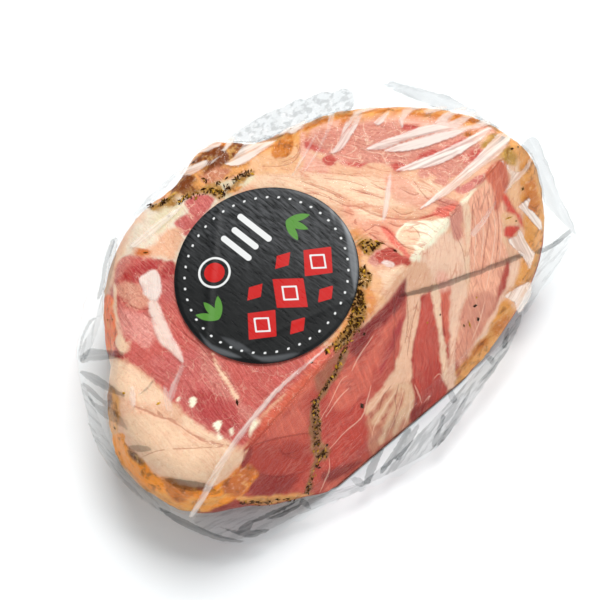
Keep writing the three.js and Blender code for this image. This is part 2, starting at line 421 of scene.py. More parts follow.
# Areas in the photograph's pixels, painted one over another: tone, width of the soft edge, outline.
TOP_AREAS = (
    ("cream", 8, ((262, 142), (300, 124), (400, 108), (505, 135), (514, 160), (470, 195), (437, 245),
     (405, 290), (355, 335), (300, 380), (225, 340), (225, 200), (225, 165))),
    ("pale", 9, ((300, 170), (340, 176), (400, 178), (440, 186), (430, 200), (380, 206), (330, 190))),
    ("butter", 8, ((245, 175), (290, 172), (330, 190), (345, 205), (310, 200), (250, 185))),
    ("apricot", 9, ((384, 178), (400, 176), (420, 186), (436, 196), (430, 206), (410, 206), (392, 196))),
    ("pale", 5, ((418, 182), (432, 180), (446, 188), (440, 196), (424, 196), (414, 190))),
    ("blush", 6, ((292, 150), (300, 132), (330, 122), (390, 113), (450, 118), (495, 126), (480, 138),
     (400, 124), (340, 126), (310, 140), (318, 158), (330, 170), (300, 172))),
    ("eye", 2, ((305, 146), (306, 138), (311, 134), (318, 131), (326, 129), (345, 125), (360, 123),
     (378, 121), (396, 122), (401, 126), (410, 125), (420, 127), (445, 131), (460, 135), (480, 143),
     (484, 150), (480, 158), (468, 167), (455, 176), (443, 180), (428, 172), (412, 168), (398, 170),
     (388, 166), (378, 163), (366, 163), (358, 167), (345, 166), (338, 161), (330, 158), (318, 152),
     (310, 150))),
    ("eye_dark", 2, ((322, 159), (326, 155), (333, 156), (336, 161), (331, 165), (325, 164))),
    ("eye_dark", 4, ((341, 161), (352, 161), (366, 163), (360, 167), (348, 167), (342, 165))),
    ("eye_dark", 5, ((306, 141), (316, 146), (326, 150), (321, 153), (311, 151), (305, 146))),
    ("eye_dark", 5, ((390, 164), (400, 163), (404, 168), (398, 171))),
    ("eye_dark", 4, ((402, 146), (420, 138), (446, 131), (444, 135), (424, 142))),
    ("eye_dark", 4, ((403, 128), (406, 124), (420, 127), (412, 130))),
    ("eye_dark", 5, ((410, 160), (430, 151), (452, 143), (463, 139), (456, 147), (436, 155))),
    ("eye_dark", 5, ((462, 154), (474, 149), (482, 150), (478, 157), (466, 163))),
    ("eye", 2, ((417, 172), (421, 168), (428, 171), (429, 177), (423, 179), (418, 176))),
    ("eye", 3, ((434, 181), (440, 177), (450, 180), (446, 186), (440, 185))),
    ("rose_light", 3, ((456, 189), (464, 184), (476, 177), (488, 171), (493, 170), (482, 183), (470, 191),
     (461, 193))),
    ("swirl", 7, ((340, 203), (360, 206), (390, 217), (415, 222), (402, 232), (396, 250), (410, 262),
     (385, 250), (372, 244), (352, 226))),
    ("pale", 4, ((352, 207), (362, 208), (380, 214), (384, 220), (366, 219), (354, 212))),
    ("seam_red", 4, ((418, 218), (432, 212), (446, 203), (452, 200), (461, 207), (452, 212), (450, 218),
     (435, 217))),
    ("seam_red", 4, ((380, 226), (390, 229), (398, 240), (408, 250), (414, 262), (402, 254), (390, 242))),
    ("eye", 4, ((434, 196), (445, 196), (456, 202), (446, 206), (436, 203))),
    ("knot", 3, ((396, 238), (399, 229), (407, 222), (424, 220), (447, 218), (451, 224), (442, 237),
     (437, 252), (430, 262), (420, 266), (410, 258), (414, 248), (404, 244))),
    ("pale", 3, ((398, 238), (402, 229), (410, 226), (418, 232), (417, 242), (408, 246))),
    ("knot", 3, ((461, 205), (464, 197), (470, 192), (477, 189), (474, 196), (468, 205))),
    ("tan", 5, ((350, 224), (362, 234), (372, 242), (371, 262), (376, 274), (386, 280), (380, 292),
     (387, 300), (378, 310), (362, 327), (350, 340), (335, 350), (330, 340), (352, 300), (357, 260))),
    ("membrane", 5, ((352, 228), (360, 240), (361, 262), (366, 280), (372, 292), (378, 302), (368, 318),
     (352, 336), (336, 348), (330, 342), (350, 306), (357, 262))),
    ("bed", 5, ((350, 288), (362, 290), (367, 306), (364, 322), (358, 336), (348, 348), (334, 354),
     (322, 352), (334, 340), (348, 322), (355, 306))),
    ("bed", 4, ((354, 270), (364, 266), (372, 272), (372, 282), (362, 288), (354, 284))),
    ("bed", 4, ((356, 238), (372, 240), (384, 242), (376, 252), (366, 254))),
    ("wedge_grey", 4, ((370, 262), (372, 255), (380, 249), (384, 262), (376, 266))),
    ("wedge", 2, ((375, 255), (383, 249), (393, 247), (401, 254), (409, 259), (412, 265), (403, 266),
     (392, 268), (384, 264), (378, 263))),
    ("whitish", 2, ((381, 262), (387, 260), (394, 263), (393, 267), (386, 266))),
    ("pale", 4, ((378, 272), (388, 268), (404, 266), (400, 275), (390, 288), (380, 296), (384, 284))),
)
LEFT_AREAS = (
    ("strip", 5, ((88, 300), (98, 260), (112, 228), (134, 198), (154, 200), (134, 236), (122, 262),
     (114, 300))),
    ("grey_fat", 8, ((120, 262), (128, 238), (150, 204), (185, 190), (206, 190), (222, 196), (196, 232),
     (176, 262), (150, 262))),
    ("ham", 6, ((222, 340), (190, 312), (178, 270), (160, 258), (128, 256), (112, 280), (98, 340),
     (104, 357), (126, 362), (150, 380), (170, 398), (195, 425), (225, 442), (245, 447), (262, 418),
     (300, 382), (335, 356), (310, 345))),
    ("rose", 8, ((150, 362), (175, 352), (200, 352), (215, 372), (235, 402), (240, 425), (225, 440),
     (200, 424), (176, 398))),
    ("rose_dark", 9, ((190, 395), (215, 392), (232, 405), (238, 425), (222, 436), (202, 420))),
    ("rose_light", 9, ((198, 345), (222, 362), (238, 392), (225, 398), (205, 375))),
    ("rose", 3, ((183, 202), (197, 193), (215, 199), (199, 220), (187, 235), (180, 231), (173, 222),
     (188, 212))),
    ("mottled", 5, ((218, 168), (232, 166), (238, 172), (222, 184), (206, 184), (204, 176))),
    ("cream", 7, ((150, 245), (172, 226), (182, 236), (176, 256), (158, 258), (134, 252))),
    ("spot", 3, ((134, 250), (142, 248), (151, 251), (146, 255), (138, 254))),
    ("rose_light", 3, ((113, 278), (121, 257), (130, 256), (120, 276))),
    ("plum", 3, ((122, 276), (130, 268), (142, 261), (163, 258), (158, 268), (142, 280), (128, 283))),
    ("plum", 3, ((159, 278), (160, 268), (168, 261), (174, 264), (172, 285), (172, 300), (162, 298))),
    ("rose", 6, ((158, 284), (166, 278), (174, 284), (172, 302), (162, 300))),
    ("mottled", 5, ((116, 286), (126, 282), (140, 284), (143, 292), (152, 302), (138, 309), (120, 300))),
    # Painted highlight: a glint of the film over the fat at the left, drawn into the meat's tone.
    ("whitish", 2.5, ((139, 277), (155, 270), (161, 284), (160, 297), (153, 301), (144, 293),
     (142, 286))),
    # Painted highlight: a glint of the film, drawn into the meat's tone.
    ("glint_streak", 4, ((149, 303), (157, 303), (166, 322), (172, 336), (180, 352), (183, 362), (172, 352),
     (156, 336), (151, 318))),
    ("ember", 3, ((104, 296), (113, 300), (116, 318), (116, 340), (110, 354), (102, 352), (97, 338),
     (99, 318))),
    ("pale", 2, ((112, 282), (115, 290), (116, 312), (121, 330), (118, 334), (113, 316), (112, 300))),
    ("pale", 3, ((114, 342), (119, 334), (125, 340), (131, 347), (127, 353), (118, 353))),
    ("plum", 4, ((103, 351), (112, 353), (122, 356), (118, 361), (108, 358))),
    ("strip", 3, ((103, 357), (124, 360), (146, 374), (162, 392), (171, 404), (190, 420), (208, 434),
     (240, 446), (246, 456), (242, 466), (228, 480), (215, 488), (186, 489), (160, 479), (140, 460),
     (118, 438), (112, 410), (108, 385))),
    ("pale", 5, ((106, 362), (124, 362), (150, 380), (164, 396), (150, 404), (122, 396), (110, 380))),
    ("butter", 8, ((125, 415), (160, 420), (200, 442), (238, 448), (242, 460), (225, 478), (190, 486),
     (150, 465), (128, 440))),
    ("pale", 5, ((184, 414), (205, 428), (235, 444), (205, 440), (186, 428))),
    ("toffee", 4, ((108, 388), (118, 396), (118, 412), (116, 432), (104, 438), (104, 420), (108, 404))),
    ("knot", 1.6, ((189, 399), (193, 397), (196, 401), (193, 407), (190, 406))),
    ("knot", 1.6, ((213, 424), (220, 422), (219, 432), (223, 438), (218, 440), (216, 430))),
    ("knot", 1.6, ((229, 429), (233, 428), (234, 434), (231, 435))),
    ("knot", 1.6, ((176, 399), (179, 395), (180, 400), (177, 402))),
    ("pale", 2, ((212, 352), (217, 362), (226, 376), (236, 392), (239, 398), (234, 398), (224, 380),
     (215, 366))),
    ("blush_red", 8, ((118, 306), (134, 312), (150, 318), (154, 334), (148, 346), (130, 340),
     (120, 328))),
    ("rose_light", 4, ((236, 402), (250, 408), (262, 414), (250, 422), (240, 412))),
    ("knot", 2, ((250, 436), (251, 424), (257, 418), (262, 421), (262, 426), (255, 433))),
    ("coral", 7, ((258, 420), (268, 408), (300, 378), (322, 362), (330, 366), (306, 384), (284, 402))),
    ("cream", 4, ((262, 416), (272, 404), (284, 394), (286, 398), (274, 410), (266, 420))),
    ("seam_red", 5, ((308, 352), (330, 345), (336, 354), (318, 368), (306, 362))),
)
UPPER_LEFT_AREAS = (
    ("toffee", 5, ((180, 168), (200, 148), (228, 137), (262, 142), (292, 126), (300, 134), (294, 158),
     (270, 168), (244, 172), (216, 186), (186, 198), (166, 196))),
    ("tan", 6, ((250, 158), (276, 150), (296, 148), (300, 168), (270, 174), (248, 174))),
    ("amber", 2, ((270, 154), (273, 144), (284, 136), (292, 134), (293, 146), (288, 156), (277, 158))),
    ("brown", 2, ((171, 193), (173, 183), (177, 176), (186, 174), (195, 177), (194, 186), (196, 193),
     (184, 196))),
    ("brown", 2, ((195, 177), (204, 168), (216, 158), (226, 149), (236, 139), (248, 142), (240, 152),
     (231, 160), (222, 166), (208, 172))),
    ("coral_brown", 4, ((202, 178), (212, 170), (226, 166), (230, 172), (222, 180), (208, 182))),
    ("amber", 3, ((206, 148), (218, 138), (228, 137), (226, 146), (218, 152))),
    ("brown", 3, ((208, 150), (220, 144), (228, 146), (216, 154), (204, 160), (186, 164), (192, 158))),
    ("olive_fat", 6, ((156, 214), (172, 204), (186, 206), (172, 222), (158, 232))),
    ("olive_fat", 5, ((214, 186), (240, 176), (256, 176), (236, 192), (222, 198))),
    ("bed", 4, ((150, 204), (164, 198), (176, 192), (182, 196), (176, 204), (164, 208), (154, 210))),
    ("bed", 4, ((184, 194), (200, 188), (214, 184), (224, 188), (220, 200), (208, 194), (196, 194))),
    ("bed", 3, ((222, 194), (234, 182), (246, 172), (256, 171), (244, 180), (232, 192))),
    ("gold", 2, ((228, 192), (236, 186), (242, 186), (236, 192))),
)
RIM_AREAS = (
    ("toffee", 3, ((303, 130), (310, 120), (330, 113), (360, 110), (388, 106), (408, 103), (430, 106),
     (462, 110), (482, 116), (484, 122), (470, 126), (440, 121), (404, 113), (384, 113), (350, 117),
     (322, 122), (308, 131))),
    ("amber", 3, ((303, 129), (310, 121), (322, 116), (330, 115), (329, 121), (316, 125))),
    ("amber", 3, ((334, 115), (350, 113), (351, 118), (340, 119))),
    ("amber", 3, ((375, 110), (388, 106), (390, 109), (380, 113))),
    ("amber", 3, ((390, 112), (402, 105), (412, 106), (402, 112))),
    ("amber", 3, ((408, 114), (414, 110), (430, 110), (424, 116))),
    ("amber", 3, ((426, 120), (436, 112), (470, 114), (482, 120), (470, 123), (446, 122))),
    ("amber", 3, ((464, 134), (472, 128), (480, 128), (474, 136))),
    ("ochre", 3, ((480, 146), (486, 136), (498, 132), (494, 140), (486, 148))),
    ("umber", 2, ((498, 142), (503, 136), (510, 137), (504, 142))),
    ("ochre", 4, ((500, 153), (508, 145), (520, 144), (526, 150), (520, 160), (517, 168), (508, 163))),
    ("butter", 4, ((520, 150), (528, 152), (530, 160), (524, 168), (518, 172), (517, 164))),
    ("pale", 4, ((508, 168), (516, 166), (520, 174), (512, 184), (507, 190), (509, 178))),
)
# The front cut grows darker toward its lower left and its foot: its own dark red, partly painted shade.
FRONT_AREAS = (
    ("dark_flesh_and_shade", 4, ((240, 474), (262, 424), (330, 362), (412, 290), (452, 330), (480, 388), (464, 430),
     (418, 468), (392, 492), (358, 508), (320, 518), (262, 520), (236, 510))),
    ("flesh", 6, ((262, 420), (300, 384), (330, 366), (352, 348), (372, 322), (392, 298), (406, 282),
     (412, 300), (400, 400), (360, 470), (310, 498), (245, 500), (243, 470), (250, 440))),
    ("coral", 8, ((262, 420), (300, 384), (326, 364), (322, 380), (306, 396), (290, 410), (270, 428))),
    ("flesh_light", 8, ((268, 430), (296, 410), (308, 420), (302, 434), (276, 438))),
    ("dark_flesh_and_shade", 8, ((250, 456), (270, 444), (310, 446), (312, 470), (290, 490), (252, 496))),
    ("deeper_red_and_shade", 8, ((246, 490), (262, 476), (296, 478), (290, 492), (262, 497))),
    ("brick", 9, ((322, 400), (350, 372), (372, 400), (360, 420), (334, 446), (320, 440))),
    ("flesh_light", 7, ((332, 392), (348, 368), (364, 366), (372, 386), (356, 404), (338, 412))),
    ("deep", 6, ((352, 352), (357, 334), (370, 322), (385, 308), (397, 293), (407, 280), (408, 296),
     (398, 310), (382, 326), (368, 342), (360, 356))),
    ("flesh_light", 6, ((362, 366), (376, 344), (392, 322), (402, 312), (402, 322), (390, 340),
     (378, 362), (368, 376))),
    ("plum", 5, ((405, 316), (400, 336), (393, 354), (380, 374), (384, 360), (392, 340), (399, 322))),
    ("brick", 5, ((336, 440), (350, 430), (366, 420), (374, 430), (374, 448), (356, 458), (334, 470),
     (326, 462))),
    ("deeper_red_and_shade", 5, ((322, 478), (332, 470), (352, 464), (362, 462), (350, 474), (330, 482))),
    ("flesh_light", 5, ((328, 486), (350, 474), (368, 462), (364, 470), (344, 486), (326, 494))),
    ("dusky", 6, ((316, 388), (320, 372), (334, 358), (342, 352), (334, 372), (322, 392))),
    ("olive", 3, ((311, 412), (315, 403), (325, 388), (336, 367), (345, 352), (349, 353), (341, 371),
     (330, 389), (321, 404), (322, 424), (323, 440), (330, 450), (328, 459), (319, 462), (314, 474),
     (312, 490), (308, 499), (305, 492), (310, 474), (314, 460), (311, 446), (310, 430))),
    ("fan", 5, ((372, 404), (388, 384), (400, 388), (412, 398), (416, 420), (404, 432), (384, 446),
     (372, 454), (368, 430))),
    ("fan_white", 4, ((400, 384), (404, 388), (391, 404), (377, 424), (373, 420), (386, 401))),
    ("fan_white", 4, ((402, 386), (406, 390), (396, 412), (384, 444), (380, 440), (391, 410))),
    ("fan_white", 4, ((406, 384), (411, 388), (408, 408), (396, 436), (394, 428), (402, 406))),
    ("fan_white", 4, ((410, 382), (414, 388), (414, 404), (408, 424), (406, 420), (409, 402))),
    ("fan_white", 4, ((398, 384), (388, 392), (376, 404), (368, 416), (366, 410), (384, 388))),
    ("strip", 3, ((408, 296), (414, 290), (421, 298), (419, 322), (415, 345), (412, 366), (413, 378),
     (408, 384), (400, 382), (391, 386), (384, 396), (374, 412), (370, 404), (386, 384), (396, 366),
     (402, 340), (406, 318))),
    ("strip", 3, ((397, 372), (402, 364), (409, 366), (413, 374), (407, 381), (399, 380))),
    ("centre_red", 3, ((424, 300), (434, 290), (438, 312), (442, 344), (446, 376), (446, 396), (434, 408),
     (418, 424), (410, 430), (412, 412), (420, 402), (415, 384), (414, 350), (420, 322))),
    ("centre_low", 9, ((418, 372), (440, 362), (448, 380), (444, 398), (424, 418), (412, 428),
     (420, 404))),
    ("deeper_red_and_shade", 4, ((410, 422), (416, 408), (430, 400), (432, 404), (418, 420))),
    ("pink", 5, ((432, 244), (446, 234), (462, 238), (468, 262), (468, 284), (462, 312), (456, 336),
     (448, 330), (446, 290), (440, 278), (428, 290), (420, 300), (408, 300), (410, 276), (418, 262))),
    ("cream", 4, ((408, 284), (412, 264), (424, 262), (432, 274), (430, 288), (420, 298), (409, 300))),
    ("pale", 3, ((432, 292), (440, 288), (442, 308), (444, 336), (448, 362), (449, 384), (445, 384),
     (441, 350), (438, 326))),
    ("coral", 3, ((441, 286), (448, 280), (452, 292), (450, 312), (450, 336), (447, 342), (443, 320),
     (442, 300))),
    ("pink", 3, ((454, 286), (468, 286), (464, 312), (458, 336), (456, 352), (457, 372), (460, 382),
     (450, 392), (447, 386), (449, 366), (451, 340), (452, 310))),
    ("blush", 7, ((438, 274), (446, 272), (452, 284), (448, 292), (440, 290))),
    ("fibre", 4, ((468, 200), (484, 186), (500, 176), (508, 186), (506, 208), (504, 238), (510, 262),
     (506, 290), (496, 316), (484, 334), (470, 352), (460, 370), (457, 352), (460, 330), (468, 300),
     (470, 262), (464, 236))),
    ("fibre_low", 8, ((466, 300), (490, 292), (500, 302), (488, 328), (470, 350), (459, 368),
     (458, 340))),
    ("fibre_red", 5, ((486, 172), (498, 160), (506, 166), (510, 178), (506, 198), (496, 212),
     (494, 190))),
    ("dark_flesh_and_shade", 5, ((490, 316), (500, 290), (506, 266), (512, 264), (508, 288), (500, 308))),
    ("pink", 3, ((512, 258), (520, 262), (518, 280), (510, 292), (498, 318), (488, 336), (479, 350),
     (476, 344), (486, 326), (498, 302), (508, 284))),
    ("eye", 4, ((451, 222), (456, 206), (463, 207), (464, 222), (460, 240), (454, 236))),
    ("pale", 3, ((464, 206), (470, 202), (471, 226), (470, 262), (470, 284), (466, 284), (466, 240))),
    ("scarlet", 4, ((503, 196), (512, 198), (518, 208), (522, 218), (526, 230), (520, 224), (508, 214))),
    ("scarlet", 3, ((504, 236), (506, 226), (516, 226), (521, 228), (512, 238))),
    ("tan", 4, ((504, 214), (514, 214), (520, 222), (512, 226), (504, 226))),
    ("tan", 4, ((508, 190), (520, 180), (522, 200), (520, 214), (512, 204))),
)
CRUST_AREAS = (
    ("toffee", 4, ((504, 130), (526, 140), (540, 158), (548, 200), (548, 230), (540, 262), (534, 296),
     (520, 330), (500, 350), (470, 382), (454, 384), (474, 352), (500, 312), (518, 284), (524, 250),
     (524, 200), (520, 166))),
    ("gold", 4, ((520, 172), (530, 156), (536, 170), (538, 192), (541, 216), (536, 240), (533, 252),
     (526, 238), (524, 214), (521, 196))),
    ("amber", 5, ((524, 186), (536, 182), (540, 204), (536, 216), (528, 208))),
    ("gold", 4, ((522, 258), (530, 254), (532, 268), (528, 284), (520, 292), (516, 282), (520, 270))),
    ("tan", 5, ((509, 292), (520, 286), (530, 284), (526, 304), (518, 318), (508, 306))),
    ("gold", 4, ((500, 306), (508, 300), (515, 308), (518, 316), (508, 328), (496, 338), (484, 350),
     (462, 372), (456, 378), (456, 370), (476, 352), (488, 336))),
    ("amber", 5, ((498, 322), (510, 314), (508, 326), (496, 334), (488, 344), (470, 362), (462, 370),
     (470, 356), (484, 340))),
    ("orange", 3, ((104, 440), (120, 434), (126, 446), (140, 460), (158, 478), (186, 490), (214, 488),
     (236, 470), (245, 465), (258, 474), (250, 488), (238, 500), (205, 514), (180, 516), (150, 496),
     (124, 470), (104, 448))),
    ("gold", 7, ((140, 486), (165, 494), (200, 500), (230, 494), (205, 512), (180, 514), (156, 500))),
    ("amber", 5, ((160, 480), (172, 482), (200, 492), (178, 504), (164, 490))),
    ("caramel", 6, ((222, 492), (232, 474), (245, 464), (257, 473), (249, 488), (236, 500))),
    ("umber", 4, ((126, 450), (134, 452), (142, 464), (137, 466), (128, 458))),
    ("umber", 4, ((190, 514), (198, 512), (200, 518), (192, 520))),
    ("toffee", 3, ((238, 498), (262, 498), (300, 494), (316, 494), (300, 502), (262, 508), (242, 504))),
    ("deeper_red_and_shade", 3, ((244, 458), (250, 446), (254, 450), (250, 462), (242, 468))),
)
AREAS = TOP_AREAS + LEFT_AREAS + UPPER_LEFT_AREAS + RIM_AREAS + FRONT_AREAS + CRUST_AREAS

# Thin pale threads of fat, and creases darkened with painted shade: half width in pixels, then the line.
THREADS = (
    (0.8, ((333, 143), (331, 150), (335, 156))), (0.8, ((350, 145), (356, 147), (352, 152), (346, 154))),
    (0.8, ((360, 147), (372, 152), (380, 153), (384, 158), (387, 165))),
    (0.8, ((363, 122), (364, 130), (368, 138), (366, 146))), (0.7, ((316, 133), (318, 139), (324, 146))),
    (0.7, ((338, 154), (352, 158), (362, 158))), (0.7, ((392, 150), (400, 156), (412, 152))),
    (0.8, ((416, 176), (412, 184), (420, 192))), (0.8, ((404, 132), (412, 138), (430, 146))),
    (0.6, ((318, 425), (330, 405), (340, 384), (345, 378), (350, 376))),
    (0.8, ((330, 450), (345, 433), (362, 418), (368, 400), (372, 385))),
    (0.6, ((398, 388), (388, 404), (376, 424), (372, 440))), (0.6, ((404, 390), (398, 412), (388, 436))),
    (0.6, ((410, 390), (410, 410), (402, 432))), (0.6, ((394, 386), (382, 396), (370, 412))),
    (0.8, ((352, 372), (360, 356), (374, 336))), (0.7, ((326, 418), (340, 398), (350, 388))),
    (0.8, ((330, 458), (330, 470), (326, 480), (320, 494))), (0.7, ((434, 380), (440, 374), (444, 380))),
    (0.7, ((424, 404), (430, 396), (428, 402))), (0.9, ((415, 384), (420, 396), (422, 404))),
    (0.8, ((482, 214), (484, 236), (482, 262))), (0.8, ((494, 206), (496, 232), (492, 262), (486, 292))),
    (0.8, ((476, 216), (476, 246), (474, 276))), (0.7, ((500, 212), (502, 238), (500, 262))),
    (0.7, ((486, 300), (480, 322), (472, 342))),
)
CREASES = (
    (0.7, ((300, 180), (325, 190), (350, 200))), (0.7, ((322, 178), (345, 180), (366, 186))),
    (0.8, ((350, 188), (366, 193), (384, 198))), (0.7, ((370, 182), (378, 186), (386, 190))),
    (0.6, ((312, 192), (330, 198), (346, 205))), (0.6, ((332, 172), (352, 175), (372, 176))),
    (0.8, ((400, 188), (412, 194), (418, 194))), (0.8, ((412, 178), (420, 190), (430, 200), (446, 206))),
    (1.2, ((335, 200), (345, 205), (357, 206), (370, 212), (385, 217), (405, 219), (420, 218),
     (440, 213))),
    (1.1, ((340, 210), (352, 214), (366, 223), (384, 227), (394, 236), (404, 246), (416, 250))),
    (0.8, ((350, 218), (362, 228), (374, 236), (388, 246), (402, 256))),
    (0.9, ((392, 208), (402, 214), (412, 212))), (0.9, ((388, 222), (398, 226), (404, 224))),
    (0.7, ((412, 226), (418, 232), (420, 238))), (0.6, ((454, 226), (458, 238), (464, 252), (467, 276))),
    (0.7, ((440, 200), (450, 204), (460, 206))), (0.6, ((294, 142), (298, 150), (292, 158), (280, 162))),
    (0.6, ((296, 138), (300, 150), (292, 162), (276, 166), (262, 166))),
    (0.9, ((122, 301), (132, 306), (140, 309), (152, 308))), (0.8, ((142, 312), (150, 317), (156, 316))),
    (0.9, ((168, 318), (176, 326), (190, 338), (200, 346), (216, 366))),
    (0.8, ((208, 350), (220, 368), (236, 388))), (1.4, ((128, 404), (145, 410), (158, 416), (170, 419))),
    (2.0, ((166, 418), (172, 420), (178, 425))), (1.0, ((178, 424), (190, 433), (205, 441), (235, 446))),
    (0.8, ((154, 408), (160, 413), (165, 418))), (0.7, ((184, 430), (200, 437), (222, 444))),
    (0.9, ((254, 446), (275, 440), (300, 435), (312, 434))), (0.8, ((258, 474), (280, 478), (306, 472))),
    (0.7, ((276, 452), (290, 454), (300, 450))), (0.9, ((280, 448), (286, 456), (300, 460))),
    (0.9, ((408, 300), (409, 320), (406, 344))), (0.9, ((419, 300), (412, 330), (408, 356))),
    (1.0, ((392, 386), (384, 398), (380, 412))), (0.9, ((400, 384), (396, 400), (398, 412))),
    (0.9, ((412, 384), (418, 398), (412, 420))), (0.8, ((443, 300), (444, 320), (446, 336))),
    (0.8, ((488, 190), (490, 220), (486, 250), (482, 280))), (0.7, ((496, 196), (500, 230), (496, 270))),
    (0.7, ((474, 200), (473, 230), (472, 256))), (0.8, ((470, 362), (480, 348), (488, 338))),
    (0.8, ((246, 450), (244, 460), (242, 468))), (0.7, ((140, 458), (160, 450), (190, 448), (235, 446))),
)


# ---------------------------------------------------------------- materials

class Paint:
    """A material's node tree, with short calls for the nodes that it is made of."""

    def __init__(self, name):
        self.material = bpy.data.materials.new(name)
        self.material.use_nodes = True
        self.tree = self.material.node_tree
        self.shader = self.tree.nodes["Principled BSDF"]
        self.output = self.tree.nodes["Material Output"]

    def node(self, kind, inputs=(), **settings):
        made = self.tree.nodes.new(kind)
        for key, value in settings.items():
            setattr(made, key, value)
        for key, value in dict(inputs).items():
            self.feed(made.inputs[key], value)
        return made

    def feed(self, socket, value):
        if isinstance(value, bpy.types.NodeSocket):
            self.tree.links.new(value, socket)
        else:
            socket.default_value = value

    def place(self):
        return self.node("ShaderNodeTexCoord").outputs["Object"]

    def number(self, name):
        return self.node("ShaderNodeAttribute", attribute_name=name).outputs["Fac"]

    def colour(self, name):
        return self.node("ShaderNodeAttribute", attribute_name=name).outputs["Color"]

    def math(self, operation, a, b=0.0, clamp=False):
        return self.node("ShaderNodeMath", {0: a, 1: b}, operation=operation, use_clamp=clamp).outputs[0]

    def product(self, first, *rest):
        for value in rest:
            first = self.math("MULTIPLY", first, value)
        return first

    def blend(self, share, a, b, kind="MIX"):
        mix = self.node("ShaderNodeMix", data_type="RGBA", blend_type=kind)
        self.feed(mix.inputs[0], share)
        self.feed(mix.inputs[6], a)
        self.feed(mix.inputs[7], b)
        return mix.outputs[2]

    def step(self, value, low, high, to_low=0.0, to_high=1.0):
        made = self.node("ShaderNodeMapRange", {0: value, 1: low, 2: high, 3: to_low, 4: to_high},
                         interpolation_type="SMOOTHSTEP")
        return made.outputs[0]

    def noise(self, vector, per_metre, detail=2.0, roughness=0.5, distortion=0.0):
        made = self.node("ShaderNodeTexNoise", {"Vector": vector, "Scale": per_metre, "Detail": detail,
                                                "Roughness": roughness, "Distortion": distortion})
        return made.outputs["Fac"]

    def bump(self, height, metres, strength=1.0, normal=None):
        made = self.node("ShaderNodeBump", {"Height": height, "Distance": metres, "Strength": strength})
        if normal is not None:
            self.feed(made.inputs["Normal"], normal)
        return made.outputs["Normal"]


def rgba(colour):
    """A colour read in sRGB, as a node takes it."""
    return (*linear(colour), 1.0)


# What is laid over the meat's painted tones, from first to last; a crease darkens and the rest covers.
# Hollow, pit and crease darken where the relief dips, painted shade with the meat's own darker tone; the
# pale mottle on the fat is partly painted highlights of its wet shine.
MEAT_LAYERS = {
    "hollow_shade": (164, 48, 40), "marbling": (244, 200, 172), "fat_strand": (216, 134, 104),
    "fat_lock": (206, 112, 84), "lean_strand": (248, 186, 160), "lean_lock": (146, 36, 28),
    "mottle": (255, 230, 206), "pit_shade": (190, 98, 66), "thread": (250, 212, 184), "crease": (176, 84, 52),
    "scorch": (116, 54, 8), "glaze": (244, 186, 104),
}
PALE_STREAK = (1.18, 1.42, 1.42, 1.0)
MEAT_SHEEN_ROUGHNESS, MEAT_DULL_ROUGHNESS = 0.36, 0.62
MEAT_SPECULAR = 0.25
SUBSURFACE = 0.12
SUBSURFACE_SCALE = 0.003
SUBSURFACE_RADIUS = (1.0, 0.35, 0.2)
# Cells per metre of the meat's noises.
BROAD, PATCHES, SCORCH, FINE, WOBBLE, FIBRE = 70, 90, 210, 620, 900, 1000
NET_PATCHES, NET_CELLS, NET_WARP = 150, 190, 260
NET_BEND = 0.006  # metres


def contour(m, value, level, wide, narrow):
    """Thin lines where a noise passes a level."""
    return m.step(m.math("ABSOLUTE", m.math("SUBTRACT", value, level)), wide, narrow)


def marbling(m, place):
    """A net of pale lines between cells, bent by noise and broken into patches."""
    warp = m.node("ShaderNodeTexNoise", {"Vector": place, "Scale": NET_WARP, "Detail": 2}).outputs["Color"]
    bent = {0: warp, 1: (NET_BEND,) * 3, 2: place}
    bent = m.node("ShaderNodeVectorMath", bent, operation="MULTIPLY_ADD")
    where = {"Vector": bent.outputs[0], "Scale": NET_CELLS}
    cells = m.node("ShaderNodeTexVoronoi", where, feature="DISTANCE_TO_EDGE")
    net = m.step(cells.outputs["Distance"], 0.055, 0.012)
    return m.product(net, m.step(m.noise(place, NET_PATCHES), 0.44, 0.58))


